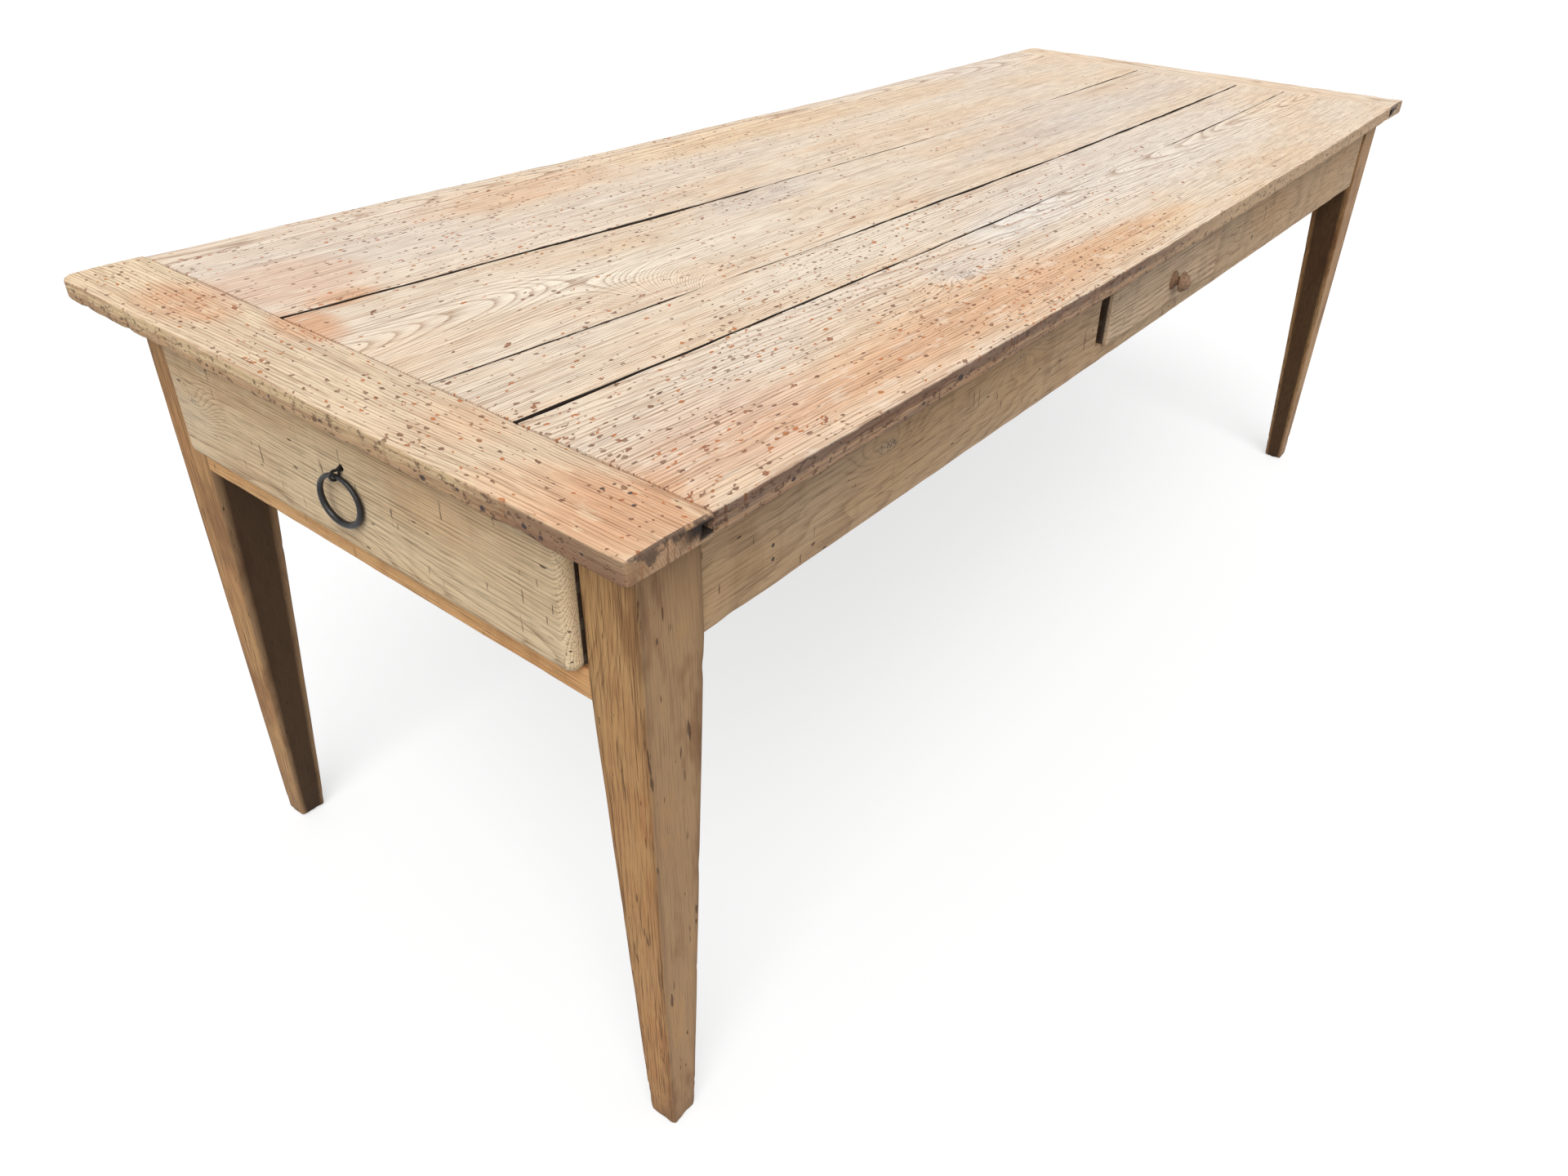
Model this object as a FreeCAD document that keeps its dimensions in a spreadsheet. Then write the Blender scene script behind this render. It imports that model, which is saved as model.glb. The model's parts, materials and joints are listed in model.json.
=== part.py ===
import FreeCAD, Part
import math
import os
import Sketcher

# Antique oak farmhouse table, in millimetres, +Z up.
# X runs along the table. The end with the big drawer is at -X, the long side with the small drawer at -Y.
# The origin is on the floor, at the middle of the table's outline.

SIZES = {
    # The top: four boards between two grooved end boards.
    "table_height": 760,
    "top_length": 2030,
    "top_thickness": 23,
    "top_arris": 2,
    "end_board_width": 85,
    "end_board_joint": 1,
    "end_board_groove": 12,
    "tongue_length": 11,
    "tongue_thickness": 9,
    "tongue_setback": 24,
    "tongue_play": 0.2,
    "tongue_peg_diameter": 6,
    "tongue_peg_cover": 5,
    "near_corner_round": 5,
    "far_corner_round": 14,
    # Edges and joints of the top, measured from its centre line at its left end, middle and right end.
    "near_edge_left": 396,
    "near_edge_middle": 396.5,
    "near_edge_right": 383,
    "far_edge_left": 411,
    "far_edge_middle": 388,
    "far_edge_right": 398,
    "near_joint_left": 186,
    "near_joint_middle": 199,
    "near_joint_right": 187,
    "middle_joint_left": 76,
    "middle_joint_middle": 103,
    "middle_joint_right": 95,
    "far_joint_left": 149,
    "far_joint_middle": 101,
    "far_joint_right": 112,
    # Open width of each joint between the shrunken boards, at the same three places.
    "near_gap_left": 4.6,
    "near_gap_middle": 1,
    "near_gap_right": 1,
    "middle_gap_left": 0.8,
    "middle_gap_middle": 3.8,
    "middle_gap_right": 3.8,
    "far_gap_left": 6.2,
    "far_gap_middle": 1.2,
    "far_gap_right": 1,
    # The underframe.
    "overhang_left": 49,
    "overhang_right": 13,
    "frame_near": 352,
    "frame_far": 373,
    "leg_length": 70,
    "leg_width": 63,
    "foot_length": 32,
    "foot_width": 33,
    "foot_round": 5,
    "leg_arris": 2.5,
    "apron_height": 128,
    "apron_thickness": 24,
    "apron_recess": 2.5,
    "apron_shrinkage": 4,
    "rail_height": 29,
    "rail_depth": 40,
    "end_opening_height": 156,
    "tenon_thickness": 10,
    "long_tenon": 38,
    "short_tenon": 34,
    "tenon_shoulder": 14,
    "tenon_haunch": 22,
    "rail_shoulder": 4,
    "peg_diameter": 8,
    "peg_fit": 0.1,
    "peg_skin": 5,
    "peg_inset": 14,
    "peg_spread": 30,
    "peg_stagger": 13,
    # Cross bearers under the boards.
    "bearer_width": 40,
    "bearer_height": 45,
    "bearer_housing": 14,
    "left_bearer_gap": 11,
    "middle_bearer_gap": 27,
    "nail_diameter": 4,
    "nail_fit": 0.1,
    "nail_point": 15,
    # The big drawer in the left end.
    "end_drawer_play": 3,
    "end_drawer_proud": 15,
    "end_drawer_length": 500,
    "end_front_thickness": 30,
    "end_front_round": 10,
    "end_front_corner": 12,
    "end_side_thickness": 14,
    "end_guide_play": 1.5,
    "end_guide_height": 104,
    "end_guide_bevel_width": 22,
    "end_guide_bevel_height": 31,
    "end_runner_width": 30,
    "end_runner_height": 20,
    "guide_nail_place": 160,
    "guide_nail_rise": 27,
    "guide_nail_step": 14.5,
    "guide_nail_sink": 1.5,
    "runner_nail_point": 17,
    # The small drawer in the near side.
    "side_opening_left": 186,
    "side_opening_right": 190,
    "side_sill_height": 23,
    "side_drawer_left_play": 16,
    "side_drawer_right_play": 3,
    "side_drawer_proud": 8.5,
    "side_drawer_length": 410,
    "side_front_thickness": 26,
    "side_front_round": 3,
    "side_side_thickness": 12,
    "side_guide_play": 1.2,
    "side_guide_width": 20,
    "side_guide_height": 24,
    "side_guide_setback": 60,
    "side_runner_width": 40,
    "side_runner_height": 22,
    # Shared by both drawers.
    "running_clearance": 0.3,
    "drawer_top_play": 1.5,
    "drawer_bottom_thickness": 8,
    "drawer_bottom_rise": 7,
    "drawer_groove": 5,
    "drawer_groove_play": 0.5,
    "drawer_lap": 16,
    "drawer_back_drop": 8,
    "tail_flare": 4,
    "stub_tenon": 10,
    "stub_shoulder": 6,
    "stop_length": 20,
    "stop_height": 18,
    "brad_diameter": 3,
    "brad_point": 16,
    # The iron ring pull.
    "ring_radius": 25,
    "ring_wire": 4.6,
    "ring_swell": 6.8,
    "ring_stand_off": 7.5,
    "ring_off_centre": 9.5,
    "eye_clearance": 0.3,
    "eye_wire": 2.8,
    "eye_radius": 4.6,
    "eye_neck": 1.8,
    "eye_bend": 4,
    "eye_leg_gap": 0.3,
    "eye_height": 91,
    "eye_hole_diameter": 7.4,
    "clench_bend": 2.6,
    "clench_length": 11,
    # The turned knob.
    "knob_place": 14.5,
    "knob_height": 33,
    "knob_base": 12.5,
    "knob_base_thickness": 2.6,
    "knob_neck": 5.5,
    "knob_neck_place": 7.6,
    "knob_neck_length": 3.4,
    "knob_head": 14,
    "knob_head_place": 12.2,
    "knob_bead": 11.6,
    "knob_bead_place": 15.6,
    "knob_face": 8.4,
    "knob_face_place": 20.4,
    "knob_nub": 3.2,
    "knob_length": 24,
    "knob_tenon_diameter": 10,
    "knob_tenon_length": 18,
    # How far a cut runs past the surface that it opens.
    "overrun": 2,
}
PEG_SIDES = 8                                # pegs are riven eight-sided, nails and brads are forged square
NAIL_SIDES = 4
RING_FLATS = 12                              # the hammered flats round the ring's wire
RING_SECTIONS = 24                           # the sections round the ring
EYE_FLATS = 8                                # the flats round the eye's wire
EYE_STEP = 22                                # degrees that a bend of the eye turns from one flat to the next
RING_TURN = 8                                # degrees that the hanging ring is turned on its eye
EYE_DROOP = 35                               # degrees that the eye is bent down in front of the wood
RUNNER_NAIL_SHARES = (0.15, 0.5, 0.85)       # where the runners are nailed, as shares of the guide's length
TAIL_SHARE = 0.5                             # how much of its pitch a dovetail takes at its narrow end
BRAD_SHARES = (-0.3, 0, 0.3)                 # where the brads stand, as shares of the drawer's width
ROUND_SHARE = 1 - math.sqrt(0.5)             # how far a rounded corner's middle lies in from its corner
TOUCH = 1e-4                                 # how close two coordinates are when they are the same

doc = FreeCAD.newDocument("farmhouse_table")
sheet = doc.addObject("Spreadsheet::Sheet", "Sizes")
for row, (alias, value) in enumerate(SIZES.items(), start=1):
    sheet.set("A%d" % row, alias.replace("_", " "))
    sheet.set("B%d" % row, str(value))
    sheet.setAlias("B%d" % row, alias)
doc.recompute()


class Size:
    """A length worked out from the sheet: the expression that the document keeps, and its value now."""

    def __init__(self, text, value):
        self.text = text
        self.value = value

    def __add__(self, other):
        other = as_size(other)
        return Size("(%s + %s)" % (self.text, other.text), self.value + other.value)

    def __sub__(self, other):
        other = as_size(other)
        return Size("(%s - %s)" % (self.text, other.text), self.value - other.value)

    def __mul__(self, other):
        other = as_size(other)
        return Size("(%s * %s)" % (self.text, other.text), self.value * other.value)

    def __truediv__(self, other):
        other = as_size(other)
        return Size("(%s / %s)" % (self.text, other.text), self.value / other.value)

    def __neg__(self):
        return Size("(-%s)" % self.text, -self.value)

    __rmul__ = __mul__


def as_size(number):
    """Takes a plain number, such as a share or a sign, as a Size."""
    return number if isinstance(number, Size) else Size(repr(number), number)


def size(alias):
    """The sheet's size of that name."""
    return Size("Sizes.%s" % alias, float(sheet.get(alias)))


ZERO = Size("0", 0.0)


def ordered(first, second):
    """The two lengths with the lower one first."""
    return (first, second) if first.value < second.value else (second, first)


def bind(thing, name, length):
    """Ties one property of a document object to a length."""
    thing.setExpression(name, as_size(length).text)


def origin_plane(body, plane):
    """One of the body's own origin planes, such as XY."""
    return next(f for f in body.Origin.OriginFeatures if f.Role == plane + "_Plane")


def set_place(thing, place, turn):
    """Puts an object at its place, turned by so many degrees about the vertical."""
    thing.Placement = FreeCAD.Placement(FreeCAD.Vector(0, 0, 0), FreeCAD.Rotation(turn, 0, 0))
    for axis, length in zip("xyz", place):
        bind(thing, "Placement.Base." + axis, length)


def new_body(label, x=ZERO, y=ZERO, z=ZERO, turn=0):
    """An empty body with its own frame at x, y, z, turned about the vertical."""
    body = doc.addObject("PartDesign::Body", label)
    body.Label = label
    set_place(body, (x, y, z), turn)
    return body


def new_sketch(body, plane, level, name):
    """An empty sketch on an origin plane, moved along the body's axis to level."""
    sketch = body.newObject("Sketcher::SketchObject", name)
    sketch.AttachmentSupport = (origin_plane(body, plane), [""])
    sketch.MapMode = "FlatFace"
    bind(sketch, "AttachmentOffset.Base.z", -level if plane == "XZ" else level)
    return sketch


def pin_point(sketch, geometry, end, across, up):
    """Holds one point of a sketch at its distances from the sketch's origin."""
    for kind, length in (("DistanceX", across), ("DistanceY", up)):
        length = as_size(length)
        number = sketch.addConstraint(Sketcher.Constraint(kind, -1, 1, geometry, end, length.value))
        sketch.setExpression("Constraints[%d]" % number, length.text)


def flat_point(point):
    return FreeCAD.Vector(as_size(point[0]).value, as_size(point[1]).value, 0)


def counter_clockwise_arc(start, middle, end):
    """An arc through three points, drawn the way round that sketches keep."""
    turn = (middle - start).cross(end - middle).z
    return Part.Arc(start, middle, end) if turn > 0 else Part.Arc(end, middle, start)


def draw_outline(sketch, points):
    """Draws a closed outline. A point marked "via" is the middle of an arc between its neighbours."""
    corners = [point for point in points if len(point) == 2]
    middles = {}
    for index, point in enumerate(points):
        if len(point) == 3:
            middles[id(points[index - 1])] = point
    ends = []
    for index, corner in enumerate(corners):
        follower = corners[(index + 1) % len(corners)]
        middle = middles.get(id(corner))
        if middle is None:
            edge = Part.LineSegment(flat_point(corner), flat_point(follower))
        else:
            edge = counter_clockwise_arc(flat_point(corner), flat_point(middle), flat_point(follower))
        number = sketch.addGeometry(edge, False)
        drawn = sketch.Geometry[number]
        start = flat_point(corner)
        starts_there = (drawn.StartPoint - start).Length < (drawn.EndPoint - start).Length
        ends.append((number, 1, 2) if starts_there else (number, 2, 1))
    for index, (number, first, last) in enumerate(ends):
        following, following_first, following_last = ends[(index + 1) % len(ends)]
        sketch.addConstraint(Sketcher.Constraint("Coincident", number, last, following, following_first))
        pin_point(sketch, number, first, *corners[index])
        middle = middles.get(id(corners[index]))
        if middle is not None:
            mark = sketch.addGeometry(Part.Point(flat_point(middle)), True)
            pin_point(sketch, mark, 1, middle[0], middle[1])
            sketch.addConstraint(Sketcher.Constraint("PointOnObject", mark, 1, number))


def draw_circles(sketch, centres, radius):
    """Draws equal circles at their centres."""
    for centre in centres:
        circle = Part.Circle(flat_point(centre), FreeCAD.Vector(0, 0, 1), radius.value)
        number = sketch.addGeometry(circle, False)
        pin_point(sketch, number, 3, *centre)
        limit = sketch.addConstraint(Sketcher.Constraint("Radius", number, radius.value))
        sketch.setExpression("Constraints[%d]" % limit, radius.text)


def rectangle(left, right, bottom, top):
    return [(left, bottom), (right, bottom), (right, top), (left, top)]


def pad(body, plane, points, low, high, name):
    """Adds a prism on an outline, from low to high along the axis across the plane."""
    sketch = new_sketch(body, plane, high if plane == "XZ" else low, name + "_outline")
    draw_outline(sketch, points)
    feature = body.newObject("PartDesign::Pad", name)
    feature.Profile = sketch
    bind(feature, "Length", high - low)
    return feature


def cut(body, sketch, depth, name):
    """Cuts away what a sketch covers, to a depth behind it."""
    feature = body.newObject("PartDesign::Pocket", name)
    feature.Profile = sketch
    bind(feature, "Length", depth)
    return feature


def pocket(body, plane, points, low, high, name):
    """Cuts a prism on an outline out of the body, from low to high along the axis across the plane."""
    sketch = new_sketch(body, plane, low if plane == "XZ" else high, name + "_outline")
    draw_outline(sketch, points)
    return cut(body, sketch, high - low, name)


def drill(body, plane, centres, radius, low, high, name):
    """Cuts equal round holes, from low to high along the axis across the plane."""
    sketch = new_sketch(body, plane, low if plane == "XZ" else high, name + "_circles")
    draw_circles(sketch, centres, radius)
    return cut(body, sketch, high - low, name)


def punch(body, plane, centres, radius, sides, low, high, name):
    """Cuts the holes that riven pegs or forged nails fill, each with the pin's own flats."""
    sketch = new_sketch(body, plane, low if plane == "XZ" else high, name + "_outlines")
    turns = [math.pi * (2 * step + 1) / sides for step in range(sides)]
    for across, along in centres:
        draw_outline(sketch, [(across + radius * math.cos(turn), along + radius * math.sin(turn))
                              for turn in turns])
    return cut(body, sketch, high - low, name)


def board(label, x_span, y_span, z_span):
    """A plain rectangular board between the given lengths."""
    body = new_body(label)
    pad(body, "XY", rectangle(*x_span, *y_span), *z_span, label + "_blank")
    return body


def wear_arrises(body, board, wanted, name):
    """Cuts a board's level arrises back a little, as use does, where both ends pass the test."""
    doc.recompute()
    chosen = []
    for number, edge in enumerate(board.Shape.Edges, start=1):
        ends = [vertex.Point for vertex in edge.Vertexes]
        if wanted(ends) and abs(ends[0].z - ends[-1].z) < TOUCH:
            chosen.append("Edge%d" % number)
    worn = body.newObject("PartDesign::Chamfer", name)
    worn.Base = (board, chosen)
    bind(worn, "Size", size("top_arris"))


def round_edges(body, feature, wanted, radius, name):
    """Rounds the edges of a feature whose ends all pass the test."""
    doc.recompute()
    chosen = ["Edge%d" % number for number, edge in enumerate(feature.Shape.Edges, start=1)
              if all(wanted(vertex.Point) for vertex in edge.Vertexes)]
    fillet = body.newObject("PartDesign::Fillet", name)
    fillet.Base = (feature, chosen)
    bind(fillet, "Radius", radius)
    return fillet


def pins(label, sides, groups):
    """Pegs or nails as one group: each has a centre, a radius to its corners and its ends along one axis."""
    turns = {"X": FreeCAD.Rotation(FreeCAD.Vector(0, 1, 0), 90),
             "Y": FreeCAD.Rotation(FreeCAD.Vector(1, 0, 0), -90),
             "Z": FreeCAD.Rotation()}
    flats_level = FreeCAD.Rotation(FreeCAD.Vector(0, 0, 1), 180 / sides)
    rods = []
    for number, (axis, first, second, radius, low, high) in enumerate(groups, start=1):
        rod = doc.addObject("Part::Prism", "%s_%d" % (label, number))
        rod.Polygon = sides
        rod.Placement = FreeCAD.Placement(FreeCAD.Vector(0, 0, 0), turns[axis] * flats_level)
        bind(rod, "Circumradius", radius)
        bind(rod, "Height", high - low)
        places = {"X": (low, first, second), "Y": (first, low, second), "Z": (first, second, low)}[axis]
        for name, place in zip("xyz", places):
            bind(rod, "Placement.Base." + name, place)
        rods.append(rod)
    group = doc.addObject("Part::Compound", label)
    group.Label = label
    group.Links = rods
    return group


# Lengths that several pieces share.
table_height = size("table_height")
top_under = table_height - size("top_thickness")
half_length = size("top_length") / 2
left_seam = -half_length + size("end_board_width")
right_seam = half_length - size("end_board_width")
overrun = size("overrun")
running = size("running_clearance")

frame_left = -half_length + size("overhang_left")
frame_right = half_length - size("overhang_right")
frame_near = -size("frame_near")
frame_far = size("frame_far")
leg_length, leg_width = size("leg_length"), size("leg_width")
inner_left, inner_right = frame_left + leg_length, frame_right - leg_length
inner_near, inner_far = frame_near + leg_width, frame_far - leg_width
apron_bottom = top_under - size("apron_height")
near_face = frame_near + size("apron_recess")
near_back = near_face + size("apron_thickness")
far_face = frame_far - size("apron_recess")
far_back = far_face - size("apron_thickness")
rail_top = top_under - size("end_opening_height")
rail_bottom = rail_top - size("rail_height")
rail_back = frame_left + size("rail_depth")

tenon_half = size("tenon_thickness") / 2
apron_middle = size("apron_recess") + size("apron_thickness") / 2
tenon_low = apron_bottom + size("tenon_shoulder")
tenon_high = top_under - size("tenon_haunch")
peg_inset, peg_radius = size("peg_inset"), size("peg_diameter") / 2
peg_bore = peg_radius + size("peg_fit")
long_peg_heights = [(tenon_low + tenon_high) / 2 + sign * size("peg_spread") for sign in (-1, 1)]
short_peg_heights = [(tenon_low + tenon_high) / 2 + sign * (size("peg_spread") - size("peg_stagger"))
                     for sign in (-1, 1)]
rail_peg_height = (rail_bottom + rail_top) / 2
nail_radius = size("nail_diameter") / 2
nail_bore = nail_radius + size("nail_fit")
brad_radius = size("brad_diameter") / 2
brad_bore = brad_radius + size("nail_fit")
stub, stub_shoulder = size("stub_tenon"), size("stub_shoulder")


def three_places(name, sign=1):
    """A line of the top as its distances from the centre line at the left end, middle and right end."""
    return [sign * size("%s_%s" % (name, place)) for place in ("left", "middle", "right")]


# The boards of the top from near to far: each joint between them is a line with half its gap each way.
BOARDS = ["plank_near", "plank_near_middle", "plank_far_middle", "plank_far"]
near_edge, far_edge = three_places("near_edge", -1), three_places("far_edge")
joints = [(three_places("near_joint", -1), three_places("near_gap")),
          (three_places("middle_joint", -1), three_places("middle_gap")),
          (three_places("far_joint"), three_places("far_gap"))]
lower_edges = [near_edge] + [[line + gap / 2 for line, gap in zip(*joint)] for joint in joints]
upper_edges = [[line - gap / 2 for line, gap in zip(*joint)] for joint in joints] + [far_edge]
tongue_low = top_under + (size("top_thickness") - size("tongue_thickness")) / 2
tongue_high = tongue_low + size("tongue_thickness")
tongue_peg_radius = size("tongue_peg_diameter") / 2
tongue_peg_bore = tongue_peg_radius + size("peg_fit")
tongue_peg_top = table_height - size("tongue_peg_cover")


class DrawerGuide:
    """One side of a drawer's way: the face that guides the drawer, and the spans of guide and runner."""

    def __init__(self, name, inward, face, back, runner_first, runner_width):
        self.name = name
        self.inward = inward
        self.face = face
        self.back = back
        self.guide = ordered(back, face)
        self.runner = ordered(runner_first, runner_first + inward * runner_width)


end_front_face = frame_left - size("end_drawer_proud")
end_stop_start = end_front_face + size("end_drawer_length")
end_way_end = end_stop_start + size("stop_length")
end_runner_low = rail_top - size("end_runner_height")
end_gap = size("end_drawer_play") - size("end_guide_play")
end_guide_near, end_guide_far = inner_near + end_gap, inner_far - end_gap
END_GUIDES = [DrawerGuide("near", 1, end_guide_near, near_back, end_guide_near, size("end_runner_width")),
              DrawerGuide("far", -1, end_guide_far, far_back, end_guide_far, size("end_runner_width"))]
guide_nails = [(frame_left + size("guide_nail_place"), apron_bottom + size("guide_nail_rise") + step)
               for step in (ZERO, size("guide_nail_step"))]

sill_top = apron_bottom + size("side_sill_height")
notch_left, notch_right = -size("side_opening_left"), size("side_opening_right")
side_front_face = near_face - size("side_drawer_proud")
side_stop_start = side_front_face + size("side_drawer_length")
side_way_end = side_stop_start + size("stop_length")
side_runner_low = sill_top - size("side_runner_height")
side_drawer_left = notch_left + size("side_drawer_left_play")
side_drawer_right = notch_right - size("side_drawer_right_play")
side_guide_left = side_drawer_left - size("side_guide_play")
side_guide_right = side_drawer_right + size("side_guide_play")
side_back_left, side_back_right = (side_guide_left - size("side_guide_width"),
                                   side_guide_right + size("side_guide_width"))
side_width = size("side_runner_width")
SIDE_GUIDES = [DrawerGuide("left", 1, side_guide_left, side_back_left, side_back_left, side_width),
               DrawerGuide("right", -1, side_guide_right, side_back_right, side_back_right, side_width)]

# The cross bearers: one behind the end drawer, one right of the side drawer, one halfway to the right end.
bearer_half = size("bearer_width") / 2
left_bearer = end_way_end + size("left_bearer_gap") + bearer_half
middle_bearer = side_back_right + size("middle_bearer_gap") + bearer_half
right_bearer = (middle_bearer + frame_right - size("apron_recess") - size("apron_thickness")) / 2
bearer_places = [left_bearer, middle_bearer, right_bearer]


class TopEnd:
    """One end of the top: which way it faces, and where its seam, shoulder, tongues and pegs are."""

    def __init__(self, name, sign, place):
        self.name = name
        self.sign = sign
        self.place = place
        self.outer = sign * half_length
        self.seam = right_seam if sign > 0 else left_seam
        self.shoulder = self.seam - sign * size("end_board_joint")
        self.tongue_tip = self.shoulder + sign * size("tongue_length")
        self.peg_line = (self.shoulder + self.tongue_tip) / 2
        self.near, self.far = near_edge[place], far_edge[place]
        self.pegs = [(self.peg_line, (lower_edges[index][place] + upper_edges[index][place]) / 2)
                     for index in range(len(BOARDS))]


TOP_ENDS = [TopEnd("left", -1, 0), TopEnd("right", 1, 2)]
near_limit = (lower_edges[0][0] + upper_edges[0][0]).value / 2
far_limit = (lower_edges[-1][0] + upper_edges[-1][0]).value / 2
bearer_nail_lines = [(lower[1] + upper[1]) / 2 for lower, upper in zip(lower_edges, upper_edges)]


def make_plank(index, label):
    """A board of the top with swept edges and a tongue on each end."""
    lower, upper = lower_edges[index], upper_edges[index]
    left, right = TOP_ENDS[0].shoulder, TOP_ENDS[1].shoulder
    body = new_body(label)
    outline = [(left, lower[0]), (ZERO, lower[1], "via"), (right, lower[2]),
               (right, upper[2]), (ZERO, upper[1], "via"), (left, upper[0])]
    blank = pad(body, "XY", outline, top_under, table_height, label + "_blank")
    nearest, farthest = index == 0, index == len(BOARDS) - 1
    if nearest:
        wear_arrises(body, blank, lambda ends: all(point.y < near_limit for point in ends), label + "_arris")
    if farthest:
        wear_arrises(body, blank, lambda ends: all(point.y > far_limit for point in ends), label + "_arris")
    setback = size("tongue_setback")
    for end in TOP_ENDS:
        tongue_near = end.near + setback if nearest else lower[end.place]
        tongue_far = end.far - setback if farthest else upper[end.place]
        tongue = rectangle(*ordered(end.shoulder, end.tongue_tip), tongue_near, tongue_far)
        pad(body, "XY", tongue, tongue_low, tongue_high, "%s_tongue_%s" % (label, end.name))
        punch(body, "XY", [end.pegs[index]], tongue_peg_bore, PEG_SIDES,
              tongue_low - overrun, tongue_high + overrun, "%s_peg_hole_%s" % (label, end.name))
    nails = [(x, bearer_nail_lines[index]) for x in bearer_places]
    punch(body, "XY", nails, nail_bore, NAIL_SIDES,
          top_under - overrun, top_under + size("nail_point"), label + "_nail_holes")
    return body


def make_breadboard(end):
    """A breadboard end: its groove runs out at both edges of the table, where the tongues stop short."""
    label = "breadboard_" + end.name
    near_round, far_round = size("near_corner_round"), size("far_corner_round")
    near_inset, far_inset = near_round * ROUND_SHARE, far_round * ROUND_SHARE
    outer, sign = end.outer, end.sign
    body = new_body(label)
    outline = [(end.seam, end.near), (outer - sign * near_round, end.near),
               (outer - sign * near_inset, end.near + near_inset, "via"), (outer, end.near + near_round),
               (outer, end.far - far_round), (outer - sign * far_inset, end.far - far_inset, "via"),
               (outer - sign * far_round, end.far), (end.seam, end.far)]
    blank = pad(body, "XY", outline, top_under, table_height, label + "_blank")
    wear_arrises(body, blank, lambda ends: any(abs(point.x - end.seam.value) > TOUCH for point in ends),
                 label + "_arris")
    play = size("tongue_play")
    groove = rectangle(*ordered(end.seam - sign * overrun, end.seam + sign * size("end_board_groove")),
                       tongue_low - play, tongue_high + play)
    pocket(body, "XZ", groove, end.near - overrun, end.far + overrun, label + "_groove")
    punch(body, "XY", end.pegs, tongue_peg_bore, PEG_SIDES,
          top_under - overrun, tongue_peg_top, label + "_peg_holes")
    return body


def make_top():
    """The boards, the breadboard ends and the pegs that hold them, driven from below."""
    pieces = [make_plank(index, label) for index, label in enumerate(BOARDS)]
    for end in TOP_ENDS:
        pieces.append(make_breadboard(end))
        pieces.append(pins("breadboard_pegs_" + end.name, PEG_SIDES,
                           [("Z", x, y, tongue_peg_radius, top_under, tongue_peg_top) for x, y in end.pegs]))
    return pieces


def make_leg(label, x_sign, y_sign, short_joint):
    """A leg drawn from its outer bottom corner: plumb outside, tapered on its two inner faces."""
    body = new_body(label, frame_left if x_sign > 0 else frame_right, frame_near if y_sign > 0 else frame_far)

    def across(first, second):
        """Two distances from the outer face that looks along X, in order."""
        return ordered(x_sign * first, x_sign * second)

    def along(first, second):
        """Two distances from the outer face that looks along Y, in order."""
        return ordered(y_sign * first, y_sign * second)

    profile = [(ZERO, ZERO), (x_sign * size("foot_length"), ZERO),
               (x_sign * leg_length, apron_bottom), (x_sign * leg_length, top_under), (ZERO, top_under)]
    pad(body, "XZ", profile, *along(ZERO, leg_width), label + "_blank")
    taper_top = rail_bottom if short_joint == "rail" else apron_bottom
    outside = y_sign * (leg_width + overrun)
    wedge = [(y_sign * leg_width, taper_top), (outside, taper_top), (outside, -overrun),
             (y_sign * size("foot_width"), -overrun), (y_sign * size("foot_width"), ZERO)]
    taper = pocket(body, "YZ", wedge, *across(-overrun, leg_length + overrun), label + "_taper")
    arris = round_edges(body, taper, lambda point: abs(point.x) < TOUCH and abs(point.y) < TOUCH,
                        size("leg_arris"), label + "_arris")
    round_edges(body, arris, lambda point: abs(point.z) < TOUCH, size("foot_round"), label + "_foot")

    thin, thick = apron_middle - tenon_half, apron_middle + tenon_half
    skin = size("peg_skin")
    pocket(body, "YZ", rectangle(*along(thin, thick), tenon_low, tenon_high),
           *across(leg_length - size("long_tenon"), leg_length + overrun), label + "_long_mortise")
    holes = [(x_sign * (leg_length - peg_inset), height) for height in long_peg_heights]
    punch(body, "XZ", holes, peg_bore, PEG_SIDES, *along(skin, leg_width + overrun), label + "_long_holes")
    if short_joint == "rail":
        low, high = rail_bottom + size("rail_shoulder"), rail_top - size("rail_shoulder")
        heights = [rail_peg_height]
        thin, thick = size("rail_depth") / 2 - tenon_half, size("rail_depth") / 2 + tenon_half
    else:
        low, high, heights = tenon_low, tenon_high, short_peg_heights
    pocket(body, "XZ", rectangle(*across(thin, thick), low, high),
           *along(leg_width - size("short_tenon"), leg_width + overrun), label + "_short_mortise")
    holes = [(y_sign * (leg_width - peg_inset), height) for height in heights]
    punch(body, "YZ", holes, peg_bore, PEG_SIDES, *across(skin, leg_length + overrun), label + "_short_holes")
    return body


def stub_outline(runner, low, high):
    """The outline of the stub tenon on a runner's end, and of its mortise."""
    first, last = runner
    return rectangle(first + stub_shoulder, last - stub_shoulder, low + stub_shoulder, high - stub_shoulder)


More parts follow.
